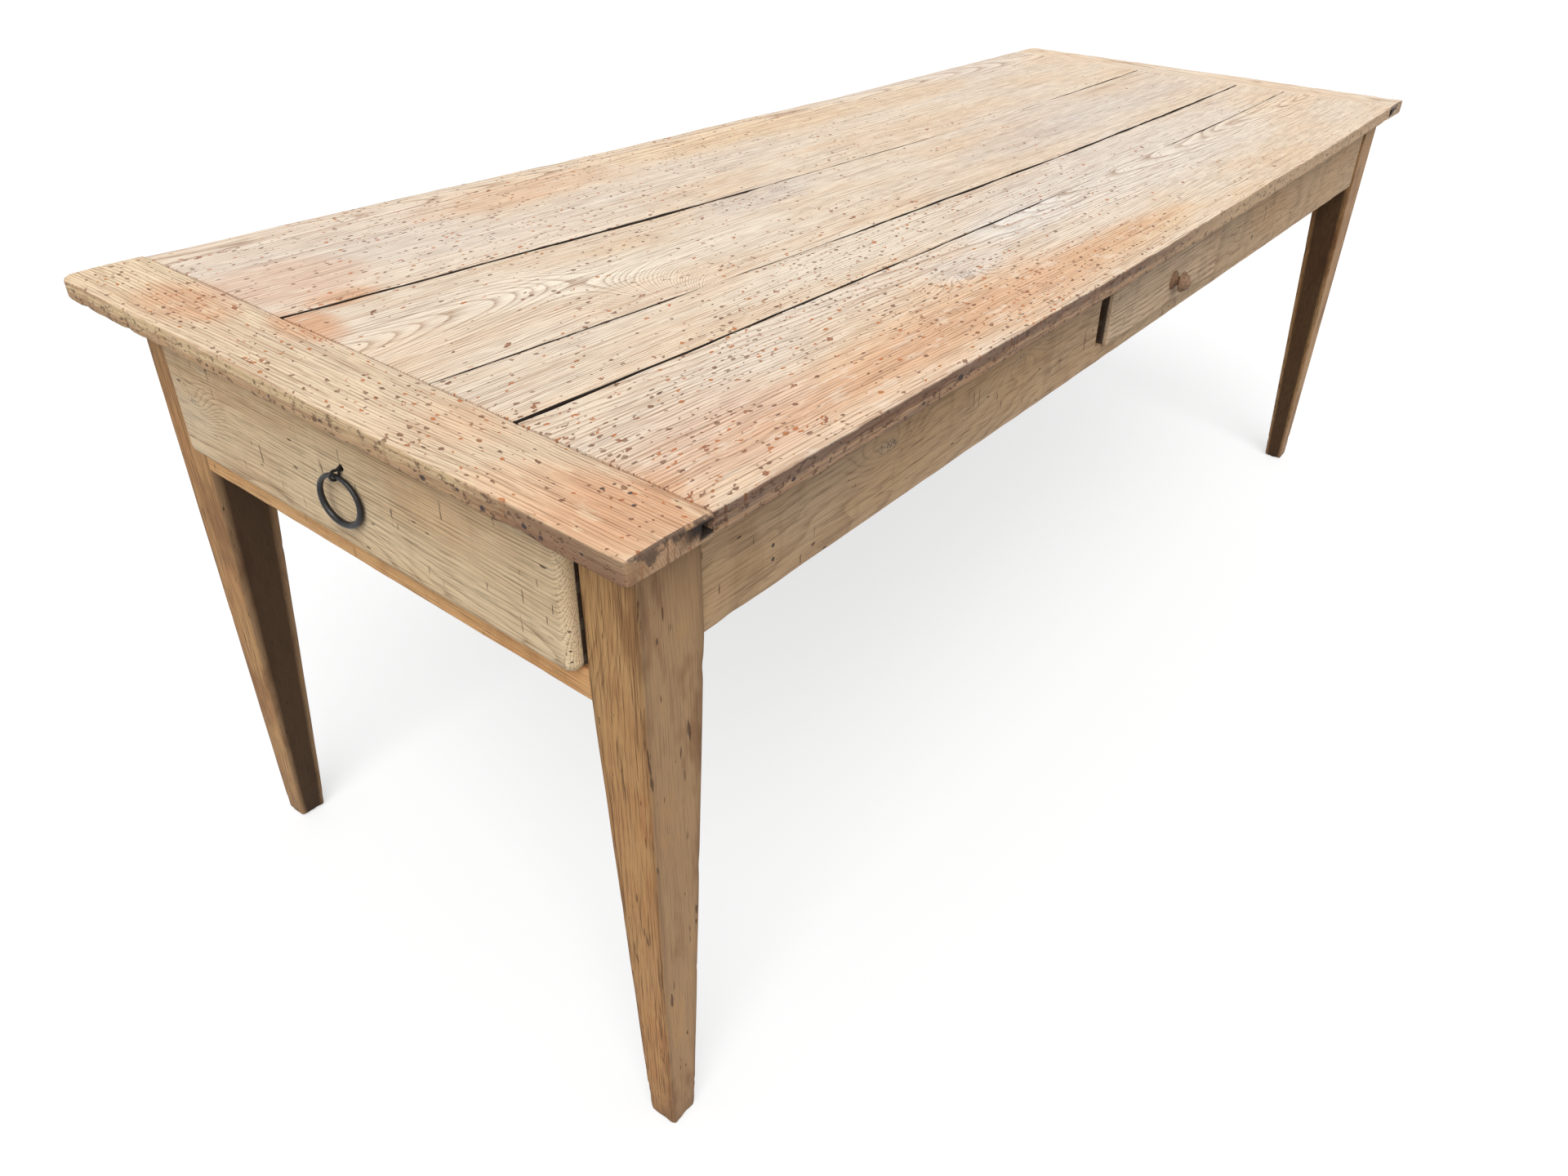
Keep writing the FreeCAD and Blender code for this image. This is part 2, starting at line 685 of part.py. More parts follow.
def make_long_apron(label, outer, inward, right_shoulder):
    """A long apron with its tenons, and the housings and mortises on its inner side."""
    inner = outer + inward * size("apron_thickness")
    low, high = ordered(outer, inner)
    middle = (low + high) / 2
    body = new_body(label)
    face = rectangle(inner_left, right_shoulder, apron_bottom, top_under)
    pad(body, "XZ", face, low, high, label + "_blank")
    for end, first, last in (("left", inner_left - size("long_tenon"), inner_left),
                             ("right", right_shoulder, inner_right + size("long_tenon"))):
        pad(body, "XZ", rectangle(first, last, tenon_low, tenon_high),
            middle - tenon_half, middle + tenon_half, "%s_tenon_%s" % (label, end))
    holes = [(x, height) for x in (inner_left - peg_inset, inner_right + peg_inset)
             for height in long_peg_heights]
    punch(body, "XZ", holes, peg_bore, PEG_SIDES, low - overrun, high + overrun, label + "_peg_holes")
    half, floor = bearer_half, top_under - size("bearer_height")
    depth = ordered(inner - inward * size("bearer_housing"), inner + inward * overrun)
    for number, place in enumerate(bearer_places, start=1):
        housing = rectangle(place - half, place + half, floor, top_under + overrun)
        pocket(body, "XZ", housing, *depth, "%s_housing_%d" % (label, number))
    depth = ordered(inner - inward * stub, inner + inward * overrun)
    for side in SIDE_GUIDES:
        mortise = stub_outline(side.runner, side_runner_low, sill_top)
        pocket(body, "XZ", mortise, *depth, "%s_mortise_%s" % (label, side.name))
    punch(body, "XZ", guide_nails, nail_bore, NAIL_SIDES,
          low - overrun, high + overrun, label + "_nail_holes")
    return body


def make_aprons():
    """The aprons on three sides and the rail under the end drawer."""
    near = make_long_apron("apron_near", near_face, 1, inner_right - size("apron_shrinkage"))
    pocket(near, "XZ", rectangle(notch_left, notch_right, sill_top, top_under + overrun),
           near_face - overrun, near_back + overrun, "apron_near_drawer_notch")
    far = make_long_apron("apron_far", far_face, -1, inner_right)
    outer = frame_right - size("apron_recess")
    right = make_cross_piece("apron_right", (outer - size("apron_thickness"), outer),
                             (apron_bottom, top_under), (tenon_low, tenon_high), short_peg_heights)
    rail_tenon = rail_bottom + size("rail_shoulder"), rail_top - size("rail_shoulder")
    rail = make_cross_piece("rail_left", (frame_left, rail_back), (rail_bottom, rail_top), rail_tenon,
                            [rail_peg_height])
    for side in END_GUIDES:
        pocket(rail, "YZ", stub_outline(side.runner, end_runner_low, rail_top),
               rail_back - stub, rail_back + overrun, "rail_left_mortise_" + side.name)
    return [near, far, right, rail]


def make_cross_piece(label, x_span, z_span, tenon_span, peg_heights):
    """A rail or apron between a near and a far leg, with a tenon on each end."""
    middle = (x_span[0] + x_span[1]) / 2
    body = board(label, x_span, (inner_near, inner_far), z_span)
    for end, first, last in (("near", inner_near - size("short_tenon"), inner_near),
                             ("far", inner_far, inner_far + size("short_tenon"))):
        pad(body, "YZ", rectangle(first, last, *tenon_span),
            middle - tenon_half, middle + tenon_half, "%s_tenon_%s" % (label, end))
    holes = [(y, height) for y in (inner_near - peg_inset, inner_far + peg_inset) for height in peg_heights]
    punch(body, "YZ", holes, peg_bore, PEG_SIDES,
          x_span[0] - overrun, x_span[1] + overrun, label + "_peg_holes")
    return body


def make_frame_pegs():
    """Pegs through the tenons, driven from the inner faces of the legs, so that none shows outside."""
    skin = size("peg_skin")
    long_pegs, short_pegs, rail_pegs = [], [], []
    for x in (inner_left - peg_inset, inner_right + peg_inset):
        for height in long_peg_heights:
            long_pegs.append(("Y", x, height, peg_radius, frame_near + skin, inner_near))
            long_pegs.append(("Y", x, height, peg_radius, inner_far, frame_far - skin))
    for y in (inner_near - peg_inset, inner_far + peg_inset):
        for height in short_peg_heights:
            short_pegs.append(("X", y, height, peg_radius, inner_right, frame_right - skin))
        rail_pegs.append(("X", y, rail_peg_height, peg_radius, frame_left + skin, rail_back))
    return [pins("apron_pegs", PEG_SIDES, long_pegs), pins("end_apron_pegs", PEG_SIDES, short_pegs),
            pins("rail_pegs", PEG_SIDES, rail_pegs)]


def make_bearers():
    """Three cross bearers housed in the aprons, each nailed up into every board of the top."""
    pieces, nails = [], []
    half, housing = bearer_half, size("bearer_housing")
    low = top_under - size("bearer_height")
    for name, place in zip(("left", "middle", "right"), bearer_places):
        label = "cross_bearer_" + name
        body = board(label, (place - half, place + half), (near_back - housing, far_back + housing),
                     (low, top_under))
        centres = [(place, line) for line in bearer_nail_lines]
        punch(body, "XY", centres, nail_bore, NAIL_SIDES,
              low - overrun, top_under + overrun, label + "_nail_holes")
        nails += [("Z", x, y, nail_radius, low, top_under + size("nail_point")) for x, y in centres]
        pieces.append(body)
    return pieces + [pins("bearer_nails", NAIL_SIDES, nails)]


def make_end_way(side):
    """The guide nailed inside a long apron, the runner nailed to the guide, their nails and the stop."""
    label = "end_drawer_guide_" + side.name
    top = end_runner_low + size("end_guide_height")
    bevel = side.back + side.inward * size("end_guide_bevel_width")
    guide = new_body(label)
    outline = [(side.back, top), (side.back, end_runner_low + size("end_guide_bevel_height")),
               (bevel, end_runner_low), (side.face, end_runner_low), (side.face, top)]
    pad(guide, "YZ", outline, inner_left, end_way_end, label + "_blank")
    apron_face = side.back - side.inward * size("apron_thickness")
    point = side.back + side.inward * size("nail_point")
    punch(guide, "XZ", guide_nails, nail_bore, NAIL_SIDES,
          *ordered(side.back - side.inward * overrun, point), label + "_nail_holes")
    runner_label = "end_drawer_runner_" + side.name
    runner = board(runner_label, (rail_back, end_way_end), side.runner, (end_runner_low, rail_top))
    first, last = side.runner
    pad(runner, "YZ", stub_outline(side.runner, end_runner_low, rail_top),
        rail_back - stub, rail_back, runner_label + "_tenon")
    nail_line = [(inner_left + (end_way_end - inner_left) * share, (end_runner_low + rail_top) / 2)
                 for share in RUNNER_NAIL_SHARES]
    nail_head = side.face + side.inward * size("end_runner_width")
    nail_tip = side.face - side.inward * size("runner_nail_point")
    punch(runner, "XZ", nail_line, nail_bore, NAIL_SIDES,
          first - overrun, last + overrun, runner_label + "_nail_holes")
    punch(guide, "XZ", nail_line, nail_bore, NAIL_SIDES,
          *ordered(nail_tip, side.face + side.inward * overrun), label + "_runner_nail_holes")
    shanks = ordered(apron_face + side.inward * size("guide_nail_sink"), point)
    long_nails = [("Y", x, z, nail_radius, *shanks) for x, z in guide_nails]
    short_nails = [("Y", x, z, nail_radius, *ordered(nail_tip, nail_head)) for x, z in nail_line]
    return [guide, runner,
            pins("guide_nails_" + side.name, NAIL_SIDES, long_nails),
            pins("runner_nails_" + side.name, NAIL_SIDES, short_nails),
            board("end_drawer_stop_" + side.name, (end_stop_start, end_way_end), side.runner,
                  (rail_top, rail_top + size("stop_height")))]


def make_side_way(side):
    """A runner across the frame under the small drawer, with the guide and the stop that stand on it."""
    label = "side_drawer_runner_" + side.name
    first, last = side.runner
    runner = board(label, side.runner, (near_back, far_back), (side_runner_low, sill_top))
    for end, low, high in (("near", near_back - stub, near_back), ("far", far_back, far_back + stub)):
        pad(runner, "XZ", stub_outline(side.runner, side_runner_low, sill_top), low, high,
            "%s_tenon_%s" % (label, end))
    inner_end = side.guide[1] if side.inward > 0 else side.guide[0]
    runner_edge = last if side.inward > 0 else first
    return [runner,
            board("side_drawer_guide_" + side.name, side.guide,
                  (near_back + size("side_guide_setback"), side_way_end),
                  (sill_top, sill_top + size("side_guide_height"))),
            board("side_drawer_stop_" + side.name, ordered(inner_end, runner_edge),
                  (side_stop_start, side_way_end), (sill_top, sill_top + size("stop_height")))]


class Drawer:
    """The sizes of one drawer, which is drawn from the bottom middle of its front face, running along +X."""

    def __init__(self, name, place, turn, width, opening, length, front, side, face_round, corner):
        self.name = name
        self.place = place
        self.turn = turn
        self.half = width / 2
        self.height = opening - running - size("drawer_top_play")
        self.length = length - running
        self.front = front
        self.side = side
        self.face_round = face_round
        self.corner = corner
        self.pin_line = self.length - side
        self.bottom_low = size("drawer_bottom_rise")
        self.bottom_high = self.bottom_low + size("drawer_bottom_thickness")
        self.back_high = self.height - size("drawer_back_drop")

    def piece(self, label):
        return new_body(label, *self.place, self.turn)

    def tails(self, narrow, wide, low, high, count):
        """The outlines of a row of dovetails, from narrow to wide ends, shared out over a height."""
        pitch = (high - low) / count
        half_narrow = pitch * TAIL_SHARE / 2
        half_wide = half_narrow + size("tail_flare")
        middles = [low + pitch * (row + 0.5) for row in range(count)]
        return [[(narrow, middle - half_narrow), (wide, middle - half_wide),
                 (wide, middle + half_wide), (narrow, middle + half_narrow)] for middle in middles]

    def front_tails(self):
        return self.tails(self.front, self.front - size("drawer_lap"), self.corner, self.height, 4)

    def back_tails(self):
        return self.tails(self.pin_line, self.length, self.bottom_high, self.back_high, 3)

    def cut_sockets(self, body, tails, runs_out):
        """Cuts the sockets for a row of dovetails into both ends of the front or back."""
        half, side = self.half, self.side
        for row, tail in enumerate(tails, start=1):
            beyond = [(x + overrun, z) for x, z in tail]
            opened = tail[:2] + beyond[1:3] + tail[2:] if runs_out else beyond[:1] + tail + beyond[3:]
            pocket(body, "XZ", opened, -half - overrun, -half + side, "%s_socket_near_%d" % (body.Label, row))
            pocket(body, "XZ", opened, half - side, half + overrun, "%s_socket_far_%d" % (body.Label, row))


def make_drawer_front(drawer):
    """The front: rounded on its face, with sockets for the sides and a groove for the bottom."""
    label = drawer.name + "_front"
    body = drawer.piece(label)
    half, front, groove_depth = drawer.half, drawer.front, size("drawer_groove")
    feature = pad(body, "YZ", rectangle(-half, half, ZERO, drawer.height), ZERO, front, label + "_blank")
    if drawer.corner.value > 0:
        feature = round_edges(body, feature, lambda point: abs(point.z) < TOUCH and
                              abs(abs(point.y) - half.value) < TOUCH, drawer.corner, label + "_corners")
    round_edges(body, feature, lambda point: abs(point.x) < TOUCH, drawer.face_round, label + "_rounding")
    drawer.cut_sockets(body, drawer.front_tails(), runs_out=False)
    groove = rectangle(front - groove_depth, front + overrun, drawer.bottom_low, drawer.bottom_high)
    groove_half = half - drawer.side + groove_depth
    pocket(body, "XZ", groove, -groove_half, groove_half, label + "_groove")
    return body


def make_drawer_side(drawer, name, sign):
    """A side with lapped dovetails in front, through dovetails behind and a groove for the bottom."""
    label = "%s_side_%s" % (drawer.name, name)
    body = drawer.piece(label)
    outer, inner = sign * drawer.half, sign * (drawer.half - drawer.side)
    outline = [(drawer.front, ZERO), (drawer.length, ZERO), (drawer.length, drawer.bottom_high),
               (drawer.pin_line, drawer.bottom_high)]
    for tail in drawer.back_tails():
        outline += tail
    outline += [(drawer.pin_line, drawer.back_high), (drawer.length, drawer.back_high),
                (drawer.length, drawer.height), (drawer.front, drawer.height)]
    for tail in reversed(drawer.front_tails()):
        outline += reversed(tail)
    pad(body, "XZ", outline, *ordered(outer, inner), label + "_blank")
    depth = size("drawer_groove")
    groove = rectangle(drawer.front - depth, drawer.length + overrun, drawer.bottom_low, drawer.bottom_high)
    pocket(body, "XZ", groove, *ordered(inner - sign * overrun, inner + sign * depth), label + "_groove")
    return body


def make_drawer_back(drawer):
    """The back: it stands on the bottom and takes the through dovetails of the sides."""
    label = drawer.name + "_back"
    body = drawer.piece(label)
    pad(body, "YZ", rectangle(-drawer.half, drawer.half, drawer.bottom_high, drawer.back_high),
        drawer.pin_line, drawer.length, label + "_blank")
    drawer.cut_sockets(body, drawer.back_tails(), runs_out=True)
    return body


def make_drawer_bottom(drawer, boards):
    """The bottom boards, let into the grooves and run under the back."""
    inset = drawer.side - size("drawer_groove") + size("drawer_groove_play")
    start = drawer.front - size("drawer_groove") + size("drawer_groove_play")
    run = (drawer.length - start) / len(boards)
    pieces = []
    for number, name in enumerate(boards):
        body = drawer.piece(drawer.name + name)
        outline = rectangle(start + run * number, start + run * (number + 1),
                            -drawer.half + inset, drawer.half - inset)
        pad(body, "XY", outline, drawer.bottom_low, drawer.bottom_high, body.Label + "_blank")
        pieces.append(body)
    return pieces


def make_drawer(drawer, side_names, bottom_boards):
    """All the boards of one drawer, and the brads that hold its bottom up to its back."""
    front, back = make_drawer_front(drawer), make_drawer_back(drawer)
    sides = [make_drawer_side(drawer, name, sign) for name, sign in side_names]
    bottoms = make_drawer_bottom(drawer, bottom_boards)
    low, high, tip = drawer.bottom_low, drawer.bottom_high, drawer.bottom_high + size("brad_point")
    centres = [(drawer.length - drawer.side / 2, drawer.half * 2 * share) for share in BRAD_SHARES]
    punch(back, "XY", centres, brad_bore, NAIL_SIDES, high - overrun, tip, back.Label + "_brad_holes")
    punch(bottoms[-1], "XY", centres, brad_bore, NAIL_SIDES,
          low - overrun, high + overrun, bottoms[-1].Label + "_brad_holes")
    brads = pins(drawer.name + "_brads", NAIL_SIDES, [("Z", x, y, brad_radius, low, tip) for x, y in centres])
    set_place(brads, drawer.place, drawer.turn)
    return [front, back] + sides + bottoms + [brads]


def make_ring(place):
    """The iron ring, drawn from the point that it hangs by, thicker towards its lowest point."""
    x_axis = FreeCAD.Vector(1, 0, 0)
    radius, thin, thick = size("ring_radius"), size("ring_wire") / 2, size("ring_swell") / 2
    sections = []
    for step in range(RING_SECTIONS):
        angle = 360 * step / RING_SECTIONS
        swell = ((1 - math.cos(math.radians(angle))) / 2) ** 3
        section = doc.addObject("Part::RegularPolygon", "ring_section_%d" % (step + 1))
        section.Polygon = RING_FLATS
        section.Placement = FreeCAD.Placement(FreeCAD.Vector(0, 0, 0), FreeCAD.Rotation(x_axis, angle + 90))
        bind(section, "Circumradius", thin + (thick - thin) * swell)
        bind(section, "Placement.Base.y", radius * -math.sin(math.radians(angle)))
        bind(section, "Placement.Base.z", radius * (math.cos(math.radians(angle)) - 1))
        sections.append(section)
    ring = doc.addObject("Part::Loft", "pull_ring")
    ring.Label = "pull_ring"
    ring.Sections = sections
    ring.Solid = True
    ring.Closed = True
    ring.Ruled = True
    set_place(ring, place, RING_TURN)
    return ring


class EyePath:
    """The line of the eye's wire in its own plane: heading left from the drawer, bent down and round."""

    def __init__(self, depth):
        self.wire = size("eye_wire").value / 2
        self.offset = self.wire + size("eye_leg_gap").value / 2
        self.depth = depth
        self.bend = size("eye_bend").value
        self.loop = size("eye_radius").value
        self.neck = size("eye_neck").value
        self.clench = size("clench_bend").value
        self.tip = size("clench_length").value
        self.clearance = size("eye_clearance").value
        droop = math.radians(EYE_DROOP)
        self.reach = (size("ring_stand_off").value - self.bend * math.sin(droop)) / math.cos(droop)

    def bent(self, forward, up):
        """A point of the bent part, given as its distances along and across the drooping line."""
        fall, run = math.sin(math.radians(EYE_DROOP)), math.cos(math.radians(EYE_DROOP))
        return FreeCAD.Vector(-(self.bend + up) * fall - forward * run, 0,
                              self.bend * (run - 1) - forward * fall + up * run)

    def around(self, angle, offset):
        """A point of the bend, at an angle down from the straight and an offset up from the line."""
        radius = self.bend + offset
        return FreeCAD.Vector(-radius * math.sin(angle), 0, radius * math.cos(angle) - self.bend)

    def centre(self):
        return self.bent(self.reach, 0)

    def half(self, sign):
        """The upper wire, or the lower one, from its clenched tip to the loop's outermost point."""
        inside, offset, clench = self.depth + self.wire + self.clearance, sign * self.offset, self.clench
        droop = math.radians(EYE_DROOP)
        tangent = math.asin((self.offset + self.neck) / (self.loop + self.neck))
        neck_start = self.reach - math.sqrt((self.loop + self.neck) ** 2 - (self.offset + self.neck) ** 2)
        middle = (math.pi / 2 - tangent) / 2
        touch = self.bent(self.reach - self.loop * math.cos(tangent), sign * self.loop * math.sin(tangent))
        bow = self.bent(neck_start + self.neck * math.sin(middle),
                        sign * (self.offset + self.neck * (1 - math.cos(middle))))
        crown = (math.pi + tangent) / 2
        tip = FreeCAD.Vector(inside, 0, offset + sign * (clench + self.tip))
        turn_start = FreeCAD.Vector(inside, 0, offset + sign * clench)
        turn_middle = FreeCAD.Vector(inside - clench * ROUND_SHARE, 0, offset + sign * clench * ROUND_SHARE)
        turn_end = FreeCAD.Vector(inside - clench, 0, offset)
        top = self.bent(self.reach - self.loop * math.cos(crown), sign * self.loop * math.sin(crown))
        return [Part.LineSegment(tip, turn_start),
                Part.Arc(turn_start, turn_middle, turn_end),
                Part.LineSegment(turn_end, self.around(0, offset)),
                Part.Arc(self.around(0, offset), self.around(droop / 2, offset), self.around(droop, offset)),
                Part.LineSegment(self.around(droop, offset), self.bent(neck_start, offset)),
                Part.Arc(self.bent(neck_start, offset), bow, touch),
                Part.Arc(touch, top, self.bent(self.reach + self.loop, 0))]

    def half_points(self, sign):
        """The points of one half, each bend shared out in equal short lengths."""
        line = []
        for curve in self.half(sign):
            edge = curve.toShape()
            bend = 0 if isinstance(curve, Part.LineSegment) else math.degrees(edge.Length / edge.Curve.Radius)
            line += edge.discretize(1 + max(1, math.ceil(bend / EYE_STEP)))[:-1]
        return line

    def points(self):
        """The whole wire from its upper tip round the loop to its lower tip."""
        return self.half_points(1) + [self.bent(self.reach + self.loop, 0)] + self.half_points(-1)[::-1]


def make_eye(place, path):
    """The split pin that carries the ring: one wire bent round into an eye, its two legs clenched inside."""
    line = path.points()
    turns = [math.tau * step / EYE_FLATS for step in range(EYE_FLATS + 1)]
    section = Part.makePolygon([line[0] + FreeCAD.Vector(math.cos(turn), math.sin(turn), 0) * path.wire
                                for turn in turns])
    mitred = 1
    eye = doc.addObject("Part::Feature", "ring_eye")
    eye.Label = "ring_eye"
    eye.Shape = Part.makePolygon(line).makePipeShell([section], True, False, mitred)
    set_place(eye, place, 0)
    return eye


def make_knob(place, turn):
    """The turned knob, drawn from its seat on the drawer front, with its tenon in the front."""
    base, base_edge = size("knob_base"), size("knob_base_thickness")
    neck, neck_place, neck_half = size("knob_neck"), size("knob_neck_place"), size("knob_neck_length") / 2
    head, head_place = size("knob_head"), size("knob_head_place")
    bead, bead_place = size("knob_bead"), size("knob_bead_place")
    face, face_place = size("knob_face"), size("knob_face_place")
    nub, tip = size("knob_nub"), size("knob_length")
    tenon, tenon_length = size("knob_tenon_diameter") / 2, size("knob_tenon_length")
    body = new_body("side_drawer_knob", *place, turn)
    sketch = new_sketch(body, "XY", ZERO, "knob_profile")
    draw_outline(sketch, [
        (tenon_length, ZERO), (tenon_length, tenon), (ZERO, tenon), (ZERO, base), (-base_edge, base),
        (-(neck_place - neck_half), neck), (-(neck_place + neck_half), neck), (-head_place, head),
        (-bead_place, bead), (-face_place, face), (-face_place, nub), (-tip, nub), (-tip, ZERO)])
    feature = body.newObject("PartDesign::Revolution", "knob_turning")
    feature.Profile = sketch
    feature.ReferenceAxis = (sketch, ["H_Axis"])
    feature.Angle = 360
    return body


def make_end_drawer():
    """The big drawer in the left end, with its eye and ring."""
    place = (end_front_face, (inner_near + inner_far) / 2, rail_top + running)
    drawer = Drawer("end_drawer", place, 0, inner_far - inner_near - 2 * size("end_drawer_play"),
                    size("end_opening_height"), size("end_drawer_length"), size("end_front_thickness"),
                    size("end_side_thickness"), size("end_front_round"), size("end_front_corner"))
    pieces = make_drawer(drawer, (("near", -1), ("far", 1)), ("_bottom_front", "_bottom_rear"))
    across, height = -size("ring_off_centre"), size("eye_height")
    drill(pieces[0], "YZ", [(across, height)], size("eye_hole_diameter") / 2,
          -overrun, drawer.front + overrun, "end_drawer_front_eye_hole")
    eye_place = (place[0], place[1] + across, place[2] + height)
    path = EyePath(drawer.front.value)
    drop = path.loop - path.wire - size("ring_wire").value / 2 - path.clearance
    hang = path.centre() - FreeCAD.Vector(0, 0, drop)
    ring_place = (eye_place[0] - size("ring_stand_off"), eye_place[1], eye_place[2] + as_size(hang.z))
    print("ring hangs at", [round(length.value, 3) for length in ring_place])
    return pieces + [make_eye(eye_place, path), make_ring(ring_place)]


def make_side_drawer():
    """The small drawer in the near side, with its turned knob."""
    place = ((side_drawer_left + side_drawer_right) / 2, side_front_face, sill_top + running)
    drawer = Drawer("side_drawer", place, 90, side_drawer_right - side_drawer_left, top_under - sill_top,
                    size("side_drawer_length"), size("side_front_thickness"), size("side_side_thickness"),
                    size("side_front_round"), ZERO)
    pieces = make_drawer(drawer, (("left", 1), ("right", -1)), ("_bottom",))
    off_centre, height = size("knob_place"), size("knob_height")
    drill(pieces[0], "YZ", [(-off_centre, height)], size("knob_tenon_diameter") / 2, -overrun,
          size("knob_tenon_length"), "side_drawer_front_knob_hole")
    return pieces + [make_knob((place[0] + off_centre, place[1], place[2] + height), drawer.turn)]


def make_table():
    """Every piece of the table."""
    pieces = make_top()
    for end, x_sign, short_joint in (("left", 1, "rail"), ("right", -1, "apron")):
        pieces.append(make_leg("leg_near_" + end, x_sign, 1, short_joint))
        pieces.append(make_leg("leg_far_" + end, x_sign, -1, short_joint))
    pieces += make_aprons() + make_frame_pegs() + make_bearers()
    for side in END_GUIDES:
        pieces += make_end_way(side)
    for side in SIDE_GUIDES:
        pieces += make_side_way(side)
    return pieces + make_end_drawer() + make_side_drawer()


def check_and_write(pieces):
    """Stops on anything that failed, then writes one file for each piece."""
    doc.recompute()
    for thing in doc.Objects:
        if "Invalid" in thing.State or "Error" in thing.State:
            raise RuntimeError("%s failed: %s %s" % (thing.Label, thing.State, thing.getStatusString()))
    for piece in pieces:
        if piece.Shape.isNull() or not piece.Shape.isValid() or piece.Shape.Volume <= 0:
            raise RuntimeError("%s has no valid shape" % piece.Label)
    for thing in doc.Objects:
        if thing.TypeId == "PartDesign::Pocket" and thing.Shape.Volume >= thing.BaseFeature.Shape.Volume:
            raise RuntimeError("%s cuts nothing" % thing.Label)
    os.makedirs("parts", exist_ok=True)
    for piece in pieces:
        piece.Shape.exportStep("parts/%s.step" % piece.Label)
        print("%-28s solids %2d  volume %12.1f" % (piece.Label, len(piece.Shape.Solids), piece.Shape.Volume))
    print("pieces:", len(pieces))


check_and_write(make_table())
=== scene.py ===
"""The antique farmhouse table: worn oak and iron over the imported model, in its frame and in metres."""
import json
import math

import bpy
import numpy as np
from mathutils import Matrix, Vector


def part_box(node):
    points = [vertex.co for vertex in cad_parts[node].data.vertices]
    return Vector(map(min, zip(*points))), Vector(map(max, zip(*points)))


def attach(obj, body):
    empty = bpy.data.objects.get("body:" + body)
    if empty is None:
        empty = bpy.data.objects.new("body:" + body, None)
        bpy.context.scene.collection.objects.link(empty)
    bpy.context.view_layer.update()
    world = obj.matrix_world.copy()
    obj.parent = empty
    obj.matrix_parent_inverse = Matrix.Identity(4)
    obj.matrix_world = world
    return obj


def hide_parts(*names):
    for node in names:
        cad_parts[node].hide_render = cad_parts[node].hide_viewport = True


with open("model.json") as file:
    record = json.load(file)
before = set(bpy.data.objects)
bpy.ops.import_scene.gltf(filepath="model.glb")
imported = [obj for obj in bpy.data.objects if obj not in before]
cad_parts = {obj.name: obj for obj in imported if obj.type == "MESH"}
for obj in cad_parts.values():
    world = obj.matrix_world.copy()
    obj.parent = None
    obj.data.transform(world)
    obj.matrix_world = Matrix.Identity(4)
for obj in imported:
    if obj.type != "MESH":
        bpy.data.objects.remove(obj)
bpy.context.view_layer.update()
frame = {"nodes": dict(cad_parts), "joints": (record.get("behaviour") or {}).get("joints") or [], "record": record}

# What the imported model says: each node's body, material slot and box.
BODY_OF = {node: body for body, nodes in frame["record"]["behaviour"]["bodies"].items() for node in nodes}
SLOT_OF = {part["node"]: part["material_slot"] for part in frame["record"]["subparts"]}
JOINTS = {joint["name"]: joint for joint in frame["joints"]}
BOX = {node: (Vector(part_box(node)[0]), Vector(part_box(node)[1])) for node in frame["nodes"]}

# Sizes that the boxes alone don't give, the same as in the model.
TONGUE_LENGTH, TONGUE_HALF, TONGUE_SETBACK = 0.011, 0.0045, 0.024
GROOVE_DEPTH, GROOVE_HALF = 0.012, 0.0047
NEAR_CORNER_ROUND, FAR_CORNER_ROUND = 0.005, 0.014
FOOT_LENGTH, FOOT_WIDTH, FOOT_ROUND = 0.032, 0.033, 0.005
APRON_SHRINKAGE, TENON_HALF, TENON_SHOULDER, TENON_HAUNCH = 0.004, 0.005, 0.014, 0.022
NOTCH_LEFT, NOTCH_RIGHT, SILL_HEIGHT = -0.186, 0.190, 0.023
RING_RADIUS, RING_THIN, RING_THICK = 0.025, 0.0023, 0.0034

TOP = BOX["plank_near"][1].z
UNDER = BOX["plank_near"][0].z
LEFT_SEAM, RIGHT_SEAM = BOX["breadboard_left"][1].x, BOX["breadboard_right"][0].x
SHOULDER_LEFT = BOX["plank_near"][0].x + TONGUE_LENGTH
SHOULDER_RIGHT = BOX["plank_near"][1].x - TONGUE_LENGTH


# Smooth chance shapes, the same on every run.

SPREAD = 0.6, 1.9                # the shares of a given length between which chance lengths lie


def wander(along, seed, length, count=9):
    """A smooth curve of about unit size, whose bends are about the given length apart."""
    source = np.random.default_rng(seed)
    pitch = length * source.uniform(*SPREAD, count)
    start = source.uniform(0, math.tau, count)
    return np.sin(math.tau * np.asarray(along)[..., None] / pitch + start).sum(-1) / math.sqrt(count / 2)


def swell(points, seed, length, count=16):
    """A smooth field of about unit size over points in space."""
    source = np.random.default_rng(seed)
    heading = source.normal(size=(count, 3))
    heading /= np.linalg.norm(heading, axis=1)[:, None] * length * source.uniform(*SPREAD, count)[:, None]
    waves = np.sin(math.tau * points @ heading.T + source.uniform(0, math.tau, count))
    return waves.sum(-1) / math.sqrt(count / 2)


def dents(along, seed, spacing, width, depth):
    """Hollows scattered along a line: few are as deep as the given depth, most are much shallower."""
    source = np.random.default_rng(seed)
    first, last = float(np.min(along)), float(np.max(along))
    count = max(1, int((last - first) / spacing))
    hollow = np.zeros(np.shape(along))
    for place, size, share in zip(source.uniform(first, last, count), source.uniform(0.4, 1.4, count),
                                  source.uniform(0, 1, count)):
        hollow = np.maximum(hollow, depth * share ** 2.5 * np.exp(-((along - place) / (width * size)) ** 2))
    return hollow


def uneven(along, radius, seed, length, share=0.0002):
    """A rounding that wavers along a board, and is never smaller than its radius less the share."""
    return radius + share * wander(along, seed, length).clip(-1, 2)


# Boards as skins over a row of outlines.

